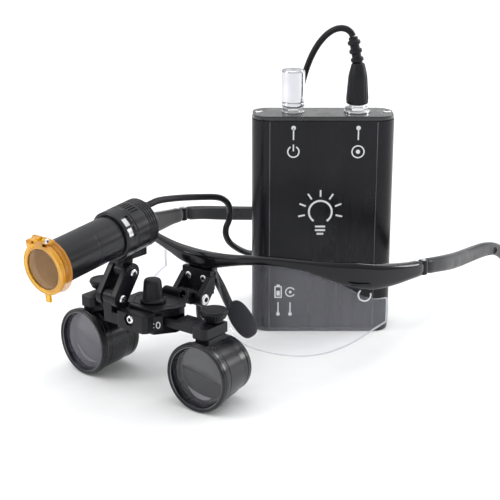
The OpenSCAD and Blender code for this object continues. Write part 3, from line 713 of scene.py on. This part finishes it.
def build_hub():
    body = piece("hub_shell", [prism(hub_outline(0.8), HUB_BOTTOM, HUB_TOP)], ROW, "hub", "satin_black",
                 bevel=0.45, replaces=["hub_body"])
    cut(body, ROW, block((-20, PINION_Y - 5.7, 30.8), (20, PINION_Y + 5.7, 34.6)), link_room())
    outline = [(-7.5, -2.9), (-6.6, -3.9), (7.5, -3.9), (9.2, -2), (8.4, 3.4), (-7.5, 3.4)]
    front = piece("hub_front_box", [prism(outline, 29.5, HUB_TOP - 0.05)], ROW, "hub", "satin_black",
                  bevel=0.4)
    nut_place = move(0, -3, 34.3) @ turn("X", 90)
    cut(front, ROW, moved(prism(disc((0, 0), 2.9, 6), 0, 3), nut_place), link_room())
    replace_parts(screw(ROW @ nut_place, "hub", 1.9, 0.8, "hub_nut"), "hub_screw")
    cover = piece("hub_cover_shell", [prism(hub_outline(0.05), HUB_TOP, COVER_TOP)], ROW, "hub",
                  "satin_black", bevel=0.32, replaces=["hub_cover"])
    cut(cover, ROW, link_room())
    rim = [(x * 0.8, 12.6 + (y - 12.6) * 0.78) for x, y in hub_outline(0.4)]
    # The groove is a thin dark bead on the cover, painted shade standing for the groove
    groove = tube([Vector((x, y, COVER_TOP + 0.02)) for x, y in rim + rim[:1]], 0.16, 8, False)
    piece("hub_cover_groove", [groove], ROW, "hub", "painted_shade_black")
    face = ROW @ move(8.1, 0.6, 29.6) @ turn("Z", 54) @ turn("X", 90)
    piece("scale_plate", [block((0, 0, -1.6), (5.4, 6.4, 0))], face, "hub", "satin_black", bevel=0.3)
    marks = [ring_mark((3.2, 2.6), 0.8, 1.35, 0.42)]
    marks += [block((1.1, y, MARK_LOW), (1.5, y + 0.3, MARK_HIGH)) for y in (1.6, 3.2)]
    piece("hub_scale_marks", marks, face, "hub", "print_white")


def ring_mark(centre, half_w, half_h, width, sides=28, start=0, sweep=360):
    """A printed oval line, or an arc of one with its angles in degrees, as a very thin solid."""
    bm = bmesh.new()
    closed = sweep == 360
    directions = arc((0, 0), 1, start, sweep, sides)
    if closed:
        directions.pop()
    sections = []
    for c, s in directions:
        inner, outer = [(centre[0] + (half_w + out) * c, centre[1] + (half_h + out) * s)
                        for out in (-width / 2, width / 2)]
        corners = ((inner, MARK_LOW), (outer, MARK_LOW), (outer, MARK_HIGH), (inner, MARK_HIGH))
        sections.append([bm.verts.new((*xy, z)) for xy, z in corners])
    return loft(bm, sections + sections[:closed], caps=not closed)


def knob_grip(angle, height):
    return 0.1 * math.cos(30 * angle) if 1.4 < height < 4.8 else 0


def build_knobs():
    cone = [(0, 0), (5.4, 0), (5.6, 0.5), (5.4, 1.1), (4.6, 1.3), (4.4, 2), (3.8, 8.8), (3.3, 9.8), (0, 10)]
    place = ROW @ move(0, PINION_Y, COVER_TOP + 0.3)
    piece("distance_knob", [lathe(cone, 96, 0.3)], place, "pd_drive", "knob_black", replaces=["pd_knob"])
    cup = [(0, 0), (3.4, 0), (3.4, 1.2), (4.7, 1.6), (5.9, 4.2), (5.6, 5.2), (4.9, 5.35), (4.4, 4.9),
           (0, 4.7)]
    outline = [(-4, -5.6), (-2.4, -7.2), (2.4, -7.2), (4, -5.6), (4, 7.8), (-4, 7.8)]
    for name, side in SIDE.items():
        place = ROW @ move(side * POST_X, POST_Y, 36.1)
        piece("clamp_knob", [lathe(cup, 120, 0.25, knob_grip)], place, "thumb_knob_" + name, "knob_black",
              replaces=["clamp_knob_" + name])
        seat = piece("clamp_block", [prism(outline, 31.2, 35.8)], ROW @ move(side * POST_X, 9.7, 0),
                     "slider_" + name, "satin_black", bevel=0.4, replaces=["clamp_block_" + name])
        cut(seat, ROW, prism(disc((side * POST_X, POST_Y), 2.56, 32), 30, 37))


# ---- Telescopes ----
# Each barrel's front coating, the turn of the painted shade seen behind it and its bright crescents, which
# are painted reflections
BEHIND_GLASS = {
    "left": ("coated_glass", 14, [(9.4, 11.6, 5.2, 66, 138)]),
    "right": ("violet_glass", 20, [(11.4, 12.6, 4.95, -58, 42), (9.6, 11.2, 5.2, 70, 150)]),
}


def ring_arc(inner, outer, z, start, end):
    """A flat crescent between two radii, pointed at both ends."""
    middle, half, steps = (inner + outer) / 2, (outer - inner) / 2, 24
    edges = [], []
    for k, (c, s) in enumerate(arc((0, 0), 1, start, end - start, steps)):
        width = half * math.sin(math.pi * (k + 0.3) / (steps + 0.6))
        for edge, r in zip(edges, (middle + width, middle - width)):
            edge.append((r * c, r * s))
    return prism(edges[0] + edges[1][::-1], z, z + 0.3)


def build_telescope(name):
    body = "telescope_" + name
    place = barrel_place(name)
    end = BARREL_LEN
    shell = [(13.7, 0.15), (14.55, 0), (15, 0.5), (15, 1.1), (14.75, 1.25), (14.75, 1.45), (15, 1.6),
             (15, 3.2), (14.5, 3.6), (14.3, 5.6), (14.05, 5.75), (14, 6.05), (14.2, 6.2), (13.2, end - 8),
             (12.8, end - 7.6), (12.65, end - 4.2), (12.35, end - 4), (12.35, end - 3.5), (12.6, end - 3.3),
             (12.4, end - 1.2), (11.4, end), (8.6, end), (8.6, end - 5.4), (10.8, end - 5.8), (12.4, 5.2),
             (13.7, 5), (13.7, 0.15)]
    piece("telescope_shell", [lathe(shell, 128, 0.2)], place, body, "anodised_black",
          replaces=["barrel_shell_" + name])
    foot = [block((-3.5, -8.5, 28.2), (3.5, 3.3, 30.85)), prism(disc((0, 0), 2.45), 29, 35.5)]
    stand = ROW @ move(SIDE[name] * POST_X, POST_Y, 0) @ turn("Z", SIDE[name] * YAW[name])
    base = piece("telescope_foot", foot, stand, body, "satin_black", bevel=0.35)
    cut(base, place, prism(disc((0, 0), 13.2, 64), -1, 29))
    coating, shade_turn, glints = BEHIND_GLASS[name]
    dome = [(0, 0.75)] + [(r, 0.75 + 1.5 * (r / 13.6) ** 2) for r in (2, 4, 6, 8, 10, 12, 13.6)]
    piece("front_glass", [lathe(dome + [(13.6, 4.9), (0, 4.9)], 96, 0.1)], place, body, coating,
          replaces=["objective_" + name])
    inner = [(0, 7.6), (4, 7.4), (8, 6.8), (11.9, 5.8), (11.6, 8.4), (0, 8.9)]
    piece("inner_element", [lathe(inner, 96, 0.2)], place, body, "inner_glass")
    # A dark arc sheet behind the front glass paints the shade over the glass's lower half
    shade = moved(prism(arc((0, 0), 11.4, 6, 168, 24), 5.75, 6.5), turn("Z", shade_turn))
    piece("inner_shade", [shade], place, body, "painted_shade_black", bevel=0.15)
    # Bright crescents inside the barrel are painted reflections
    piece("inner_glint", [ring_arc(*glint) for glint in glints], place, body, "painted_glint_white")
    eyepiece = [(0, end - 4.4), (4.5, end - 4.7), (8.5, end - 5.4), (8.5, end - 1.6), (4.5, end - 2.3),
                (0, end - 2.6)]
    piece("eye_glass", [lathe(eyepiece, 72, 0.2)], place, body, "coated_glass", replaces=["ocular_" + name])
    keeper = [(13.1, 0.5), (13.6, 0.3), (13.6, 2.2), (13.2, 2.1), (13.1, 0.5)]
    piece("keeper_ring", [lathe(keeper, 96, 0.08)], place, body, "dark_chrome",
          replaces=["retaining_ring_" + name])


# ---- Headlight ----
def build_links():
    place = ROW @ move(LIGHT_X, 0, 0)
    plates = [side_prism(wrap(disc(LINK_LOW, 4.2) + disc(LINK_UP, 4.2)), x, x + 3) for x in (-5.8, 2.8)]
    piece("link_plates", plates, place, "links", "satin_black", bevel=0.45, replaces=["headlight_links"])
    for joint, body, end in ((LINK_LOW, "hub", "lower"), (LINK_UP, "headlight", "upper")):
        piece("link_pin", [rod(1.2, 11.9, 32)], across(LIGHT_X - 5.95, *joint), body, "bright_steel",
              replaces=["link_screw_" + end])
        screw(across(LIGHT_X + 6, *joint), body, 1.9, 1.1)
        screw(place @ move(-6, *joint) @ turn("Y", -90), body, 1.9, 1.1)
    knuckle = [side_prism(disc(LINK_LOW, 3.55), -2.45, 2.45),
               side_prism(wrap(disc(LINK_LOW, 3.2) + [(-2.6, 31), (3.4, 31)]), -2.45, 2.45),
               block((-2.5, -2.6, 30), (6, 3.3, 35))]
    piece("knuckle_shell", knuckle, place, "hub", "satin_black", bevel=0.3, replaces=["headlight_knuckle"])
    foot = [side_prism(disc(LINK_UP, 3.55), -2.45, 2.45),
            side_prism(wrap(disc(LINK_UP, 3) + [(5.6, 57), (11.6, 57)]), -2.45, 2.45),
            block((-2.45, 2, 55.2), (2.45, 20, 60))]
    shoe = piece("foot_shell", foot, place, "headlight", "satin_black", bevel=0.3,
                 replaces=["headlight_foot"])
    cut(shoe, LIGHT, prism(disc((0, 0), HOUSING_R - 0.1, 64), -4, 36))


def build_headlight():
    outer, bore = TUBE_R, TUBE_R - 1.4
    barrel = [(outer - 1.2, LIGHT_LEN), (outer - 0.3, LIGHT_LEN), (outer, LIGHT_LEN - 0.4), (outer, 34),
              (outer - 0.15, 33.8), (outer - 0.15, 33.3), (outer, 33.1), (outer, 6), (bore, 6), (bore, 49),
              (outer - 1.2, LIGHT_LEN)]
    piece("light_tube", [lathe(barrel, 96, 0.2)], LIGHT, "headlight", "anodised_black",
          replaces=["headlight_tube"])
    build_light_housing()
    lens = [(0, 49), (outer - 1.2, 49), (outer - 1.2, 50.4), (6.6, 51.2), (4.4, 51.8), (2.2, 52.1), (0, 52.2)]
    piece("light_front_lens", [lathe(lens, 72, 0.2)], LIGHT, "headlight", "coated_glass",
          replaces=["headlight_lens"])
    boot = [(0, 0), (3.2, 0), (3.3, 1.2), (2.9, 1.5), (3.1, 1.9), (3, 2.6), (2.6, 2.9), (2.8, 3.3), (2.7, 4),
            (2.35, 4.3), (2.4, 4.7), (2.2, 5.7), (0, 5.7)]
    piece("cable_boot", [lathe(boot, 48, 0.15)], ROW @ move(LIGHT_X, 16.9, 75.6) @ turn("X", -90),
          "headlight", "cord_black", replaces=["cable_gland"])


def build_light_housing():
    r = HOUSING_R
    profile = [(0, 0), (2.4, 0), (2.6, 0.2), (r - 0.8, 0), (r, 0.8)]
    for z in (1.5, 2.75, 4, 5.25):
        profile += [(r, z), (r - 0.4, z + 0.15), (r - 0.4, z + 0.45), (r, z + 0.6)]
    profile += [(r, 12.9), (r - 0.35, 13.1), (r - 0.35, 13.4), (r, 13.6), (r, 14.4), (TUBE_R + 0.3, 14.4),
                (TUBE_R, 14.2), (TUBE_R, 6), (0, 6)]
    shell = piece("light_housing", [lathe(profile, 96, 0.12)], LIGHT, "headlight", "anodised_black",
                  replaces=["headlight_housing"])
    slit = (r - 0.45, -0.3, 7.4), (r + 1, 0.3, 11.8)
    cut(shell, LIGHT, *[moved(block(*slit), turn("Z", degrees)) for degrees in range(58, 123, 8)])
    inner, outer = TUBE_R + 0.05, r - 0.05
    teeth = []
    for third in (0, 120, 240):
        for start, sweep, steps in ((56, 68, 22), (26, 6, 4)):
            front, back = (arc((0, 0), radius, third + start, sweep, steps) for radius in (outer, inner))
            teeth.append(prism(front + back[::-1], 14.2, 18.6))
    piece("light_castle", teeth, LIGHT, "headlight", "anodised_black", bevel=0.18)
    lip = [(inner, 18.4), (outer, 18.4), (outer, 19.3), (r - 0.6, 19.95), (inner, 19.95), (inner, 18.4)]
    piece("light_lip", [lathe(lip, 96, 0.15)], LIGHT, "headlight", "anodised_black")
    sleeve = [(inner, 14.3), (TUBE_R + 0.6, 14.3), (TUBE_R + 0.6, 18.5), (inner, 18.5), (inner, 14.3)]
    piece("light_window_ring", [lathe(sleeve, 96, 0.1)], LIGHT, "headlight", "bright_steel")


def build_filter():
    y, z = FILTER_HINGE
    low, high = SLEEVE_FROM, SLEEVE_TO
    collar = [(TUBE_R, low), (11.4, low), (11.7, low + 0.3), (11.5, low + 1), (10.9, low + 1.2),
              (11, high - 0.4), (10.6, high), (TUBE_R - 0.8, high), (TUBE_R - 0.8, LIGHT_LEN + 0.05),
              (TUBE_R, LIGHT_LEN + 0.05), (TUBE_R, low)]
    piece("filter_collar", [lathe(collar, 96, 0.2)], LIGHT, "headlight", "amber_sleeve",
          replaces=["filter_sleeve"])
    root = [(10.2, high - 2.9), (11.2, high - 2.9), (11.2, high - 0.9), (10.2, high - 0.9)]
    legs = [side_prism(wrap(disc((y, z), 1.5, 28) + root), x, x + 1.4) for x in (-3.6, 2.2)]
    piece("filter_collar_legs", legs, LIGHT, "headlight", "amber_plastic", bevel=0.15)
    build_flap(LIGHT @ move(0, 0, FLAP_FROM), y, z - FLAP_FROM)
    hinge_line = LIGHT @ move(-3.75, y, z) @ turn("Y", 90)
    piece("filter_pin", [rod(0.7, 7.5, 24)], hinge_line, "headlight", "bright_steel",
          replaces=["filter_screw"])
    screw(LIGHT @ move(3.62, y, z) @ turn("Y", 90), "headlight", 1.2, 0.75)


def build_flap(place, y, z):
    """The filter's hinged ring and pane, with heights from the ring's back; the hinge is at y, z."""
    ring = [(9.8, 0), (10.9, 0), (11.2, 0.4), (11.2, 1.7), (10.8, 2.2), (8.9, 2.15), (8.7, 1.9), (9.8, 1.85),
            (9.8, 0)]
    flap = piece("filter_flap_ring", [lathe(ring, 96, 0.15)], place, "filter", "amber_plastic",
                 replaces=["filter_flap"])
    cut(flap, place, *[block((x, 10.2, -1), (x + 2.2, 16, 3)) for x in (-4.1, 1.9)])
    hinge = wrap(disc((y, z), 1.4, 28) + [(9.9, 0.1), (10.4, 0.1), (10.4, 2.1), (9.9, 2.1)])
    arm = [side_prism(hinge, -1.9, 1.9), block((-1.6, 13, 1), (1.6, 14.4, 7.2)),
           block((-1.6, 11.4, 5.8), (1.6, 14.4, 7.2)), block((-1.2, -14.6, 0.4), (1.2, -10.6, 1.8))]
    piece("filter_flap_arm", arm, place, "filter", "amber_plastic", bevel=0.3)
    pane = [(0, 0.4), (9.78, 0.4), (9.78, 1.4), (7, 1.65), (3.5, 1.8), (0, 1.8)]
    piece("filter_pane", [lathe(pane, 96, 0.1)], place, "filter", "amber_glass", replaces=["filter_glass"])


# ---- Battery pack ----
def pack_plan(inset, recess=0.0):
    """The pack's outline; a recess sinks its front face between two creases."""
    flat, steps = PACK_W / 2 - PACK_CORNER, 12
    points = []
    for sx, sy, start in ((1, 1, 0), (-1, 1, 90), (-1, -1, 180), (1, -1, 270)):
        centre = (sx * flat, PACK_D / 2 + sy * (PACK_D / 2 - PACK_CORNER))
        points += arc(centre, PACK_CORNER - inset, start, 90, steps)
    if recess:
        creases = [(flat - 0.2, inset), (flat - 0.6, inset + recess)]
        front = 3 * (steps + 1)
        points[front - 1:front + 1] = [(-x, y) for x, y in creases] + creases[::-1]
    return points


def front_mark(bm):
    """Lays a mark drawn in x across and y up on the pack's front face."""
    return moved(bm, turn("X", 90))


def bar_mark(x0, y0, x1, y1):
    return front_mark(block((x0, y0, MARK_LOW), (x1, y1, MARK_HIGH)))


def arc_mark(centre, radius, width, start=0, sweep=360):
    return front_mark(ring_mark(centre, radius, radius, width, 32, start, sweep))


def dot_mark(centre, radius):
    return front_mark(prism(disc(centre, radius, 24), MARK_LOW, MARK_HIGH))


def build_marks():
    """Plain pictograms: leader lines, a power sign, a lamp, a battery and a plug sign."""
    marks = []
    for u in (KNOB_U, JACK_U):
        marks += [dot_mark((u, 100.2), 1.05), bar_mark(u - 0.3, 94.6, u + 0.3, 100.2)]
    marks += [arc_mark((KNOB_U, 89), 2.6, 0.6, 120, 300), bar_mark(KNOB_U - 0.3, 89.2, KNOB_U + 0.3, 92.4)]
    marks += [arc_mark((JACK_U, 89), 2.8, 0.6), dot_mark((JACK_U, 89), 1)]
    lamp_at = (-1, 60)
    marks.append(arc_mark(lamp_at, 5.4, 0.9, -55, 290))
    for half_w, y in ((2.4, 50.6), (2.4, 52.4), (1.6, 48.8)):
        marks.append(bar_mark(lamp_at[0] - half_w, y, lamp_at[0] + half_w, y + 0.9))
    for k in range(7):
        ray = block((7.4, -0.4, MARK_LOW), (10.6, 0.4, MARK_HIGH))
        marks.append(front_mark(moved(ray, move(*lamp_at, 0) @ turn("Z", -12 + 34 * k))))
    battery_u, plug_u = -20.6, -14.8
    for u in (battery_u, plug_u):
        marks += [dot_mark((u, 8.8), 0.9), bar_mark(u - 0.28, 8.8, u + 0.28, 14.8)]
    for x0, y0, x1, y1 in ((-1.8, 17, 1.8, 17.6), (-1.8, 22.4, 1.8, 23), (-1.8, 17, -1.2, 23),
                           (1.2, 17, 1.8, 23), (-0.8, 23, 0.8, 23.8), (-0.8, 18.2, 0.8, 20.6)):
        marks.append(bar_mark(battery_u + x0, y0, battery_u + x1, y1))
    marks += [arc_mark((plug_u, 20), 2.2, 0.55, 30, 300), dot_mark((plug_u, 20), 0.7)]
    marks.append(arc_mark((21, 18.4), 3, 0.7, 130, 250))
    piece("pack_pictograms", marks, PACK @ move(0, 0.3, 0), "pack", "print_white")


def build_pack():
    case = prism(pack_plan(0.02, 0.3), 2.05, PACK_H - 2.05)
    piece("pack_case", [case], PACK, "pack", "pack_black", bevel=0.25, replaces=["pack_shell"])
    # Lighter strips along both front creases are a painted highlight
    crease = PACK_W / 2 - PACK_CORNER - 0.3
    lines = [block((x - 0.2, 0.04, 2.4), (x + 0.2, 0.34, PACK_H - 2.4)) for x in (-crease, crease)]
    piece("pack_crease_highlights", lines, PACK, "pack", "painted_crease_highlight", bevel=0.08)
    plates = [prism(pack_plan(0.3), z, z + 2) for z in (0.02, PACK_H - 2)]
    piece("pack_plates", plates, PACK, "pack", "plate_grey", bevel=0.45, replaces=["pack_end_plates"])
    heads = [screw(PACK @ move(u, ROW_V, PACK_H - 0.05), "pack", 1.9, 0.75) for u in (-30, 30)]
    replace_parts(heads[0], "pack_screws")
    place = PACK @ move(KNOB_U, ROW_V, PACK_H)
    washer = lathe([(2.6, 0), (5.4, 0), (5.4, 0.7), (2.6, 0.7), (2.6, 0)], 64, 0.12)
    neck = lathe([(0, 0.6), (2.45, 0.6), (2.45, 9.6), (0, 9.6)], 40, 0.2)
    piece("switch_base", [washer, neck], place, "pack", "bright_steel", replaces=["power_switch"])
    piece("switch_nut", [prism(disc((0, 0), 5, 6), 0.7, 2.5)], place, "pack", "bright_steel", bevel=0.3)
    cap = [(2.6, 0), (5.2, 0), (5.5, 0.4), (5.5, 1.6), (5.3, 1.8), (5.3, 2.1), (5.5, 2.3), (5.5, 16.4),
           (5, 17.2), (3.6, 17.4), (3.2, 17.2), (0, 17.1), (0, 8.5), (2.6, 8.4), (2.6, 0)]
    piece("switch_cap", [lathe(cap, 96, 0.3)], place @ move(0, 0, 2.9), "switch_knob", "knob_chrome",
          replaces=["power_knob"])
    build_jack_and_plug()
    build_marks()


def plug_flutes(angle, height):
    return 0.14 * math.cos(18 * angle) if 6 < height < 16 else 0


def build_jack_and_plug():
    place = PACK @ move(JACK_U, ROW_V, PACK_H)
    collar = [(2.7, 0), (6.2, 0), (6.2, 0.9), (4.2, 0.9), (4, 2.9), (4, 3.8), (2.7, 3.8), (2.7, 0)]
    piece("jack_collar", [lathe(collar, 72, 0.15)], place, "pack", "bright_steel", replaces=["pack_jacks"])
    piece("jack_nut", [prism(disc((0, 0), 5.6, 6), 0.9, 2.9)], place, "pack", "bright_steel", bevel=0.3)
    lower = [(2.95, 0.4), (4, 0.4), (4, 11), (2.95, 11), (2.95, 0.4)]
    piece("charge_socket", [lathe(lower, 48, 0.1)], PACK @ move(-8, ROW_V, 0), "pack", "bright_steel")
    grip = [(0, 4), (4.6, 4), (5.2, 4.5), (5.15, 6), (4.5, 16.5), (4.2, 18.2), (3.1, 22.6), (2.4, 23.2),
            (0, 23.2)]
    relief = [(0, 0), (2.2, 0)]
    for z in (1.2, 5.2, 9.2):
        relief += [(2.2, z), (3, z + 0.35), (3, z + 1.8), (2.2, z + 2.2)]
    relief += [(2.15, 12.8), (1.4, 12.9), (0, 12.9)]
    ribbed = moved(lathe(relief, 64, 0.3), move(0, 0, 22.4) @ turn("Y", -12))
    plug = piece("plug_grip", [lathe(grip, 108, 0.4, plug_flutes), ribbed], place, "pack", "cord_black",
                 replaces=["plug"])
    up = riser_line[::-1]
    cord_piece("cord_to_plug", up,
               ["cord_riser"])


def build_tie():
    """A flat strap round the coil's turns."""
    u, v = COIL_PLACE
    middle, base = (COIL_INNER + COIL_OUTER) / 2, 0.35
    section = [(12.9, base), (12.9, 11.6), (13.6, 12.5), (19.4, 12.5), (20.1, 11.6), (20.1, base)]
    lining = [(middle + (r - middle) * 0.86, 0.5 + (z - base) * 0.94) for r, z in section]
    bm = bmesh.new()
    outer, inner = ([[bm.verts.new((u + half, v + r, z)) for r, z in line] for half in (-2, 2)]
                    for line in (section, lining))
    join_rings(bm, *outer)
    join_rings(bm, *inner)
    for edge in zip(outer, inner):
        join_rings(bm, *edge)
    piece("coil_tie", [bm], PACK, "frame", "cord_black", bevel=0.15)


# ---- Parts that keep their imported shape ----
KEPT = {"frame_hinges": "satin_black", "hinge_pins": "bright_steel", "temple_hinge_left": "satin_black",
        "temple_hinge_right": "satin_black", "pd_pinion": "bright_steel", "pd_slider_left": "satin_black",
        "pd_slider_right": "satin_black", "led_board": "board_white", "battery_cells": "cell_wrap",
        "circuit_board": "board_green"}


def paint_kept():
    for node, name in KEPT.items():
        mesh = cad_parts[node].data
        mesh.materials.clear()
        mesh.materials.append(FINISH[name])


# ---- Studio ----
def build_floor():
    """A level floor that curves up into a wall behind the object."""
    bm = bmesh.new()
    side, back, rise, below = 5.0, 4.2, 2.4, 0.0002
    line = [(-side + (side + back) * k / 15, 0) for k in range(15)] + arc((back, rise), rise, -90, 90, 9)
    rows = [[bm.verts.new((x, y, z - below)) for x in (-side, side)] for y, z in line]
    for (a, b), (c, d) in zip(rows, rows[1:]):
        bm.faces.new((a, b, d, c)).smooth = True
    mesh = bpy.data.meshes.new("studio_floor")
    bm.to_mesh(mesh)
    bm.free()
    finish("studio_white", (0.93, 0.93, 0.93), (0.95, 0.95, 0.95), (0.75, 0.85), 0.02, 0.01)
    mesh.materials.append(FINISH["studio_white"])
    floor = bpy.data.objects.new("studio_floor", mesh)
    bpy.context.scene.collection.objects.link(floor)


def build_studio():
    build_floor()
    world = bpy.data.worlds.new("studio")
    world.use_nodes = True
    background = world.node_tree.nodes["Background"]
    background.inputs["Color"].default_value = (0.98, 0.99, 1, 1)
    sky = Nodes(world.node_tree, "Generated")
    sky.link(sky.spread(sky.axis("Z"), 0.45, 1.25, 0, 1), background.inputs["Strength"])
    bpy.context.scene.world = world
    bpy.context.scene.view_settings.view_transform = "Standard"
    lamp("overhead", (-0.2, -0.2, 2), 1.2, 0.55, "SUN")
    lamp("key", (-0.6, -0.75, 0.6), 0.4, 2.6)
    lamp("fill", (0.65, 0.8, 0.35), 0.3, 2.6)
    lamp("rim", (0.35, 0.95, 0.85), 0.3, 3)


def lamp(name, at, size, energy, kind="AREA"):
    """A lamp aimed at the object; size is a sun's angle or a round lamp's diameter."""
    data = bpy.data.lights.new(name, kind)
    if kind == "SUN":
        data.angle = size
    else:
        data.shape = "DISK"
        data.size = size
    data.energy = energy
    obj = bpy.data.objects.new(name, data)
    obj.location = at
    obj.rotation_euler = (Vector((0, 0, 0.05)) - obj.location).to_track_quat("-Z", "Y").to_euler()
    bpy.context.scene.collection.objects.link(obj)


build_brow()
for side_name in SIDE:
    build_temple(side_name)
    build_lens(side_name)
    build_telescope(side_name)
build_nose()
build_bracket()
build_flip_arm()
build_hub()
build_knobs()
build_links()
build_headlight()
build_filter()
build_pack()
build_tie()
paint_kept()
build_studio()
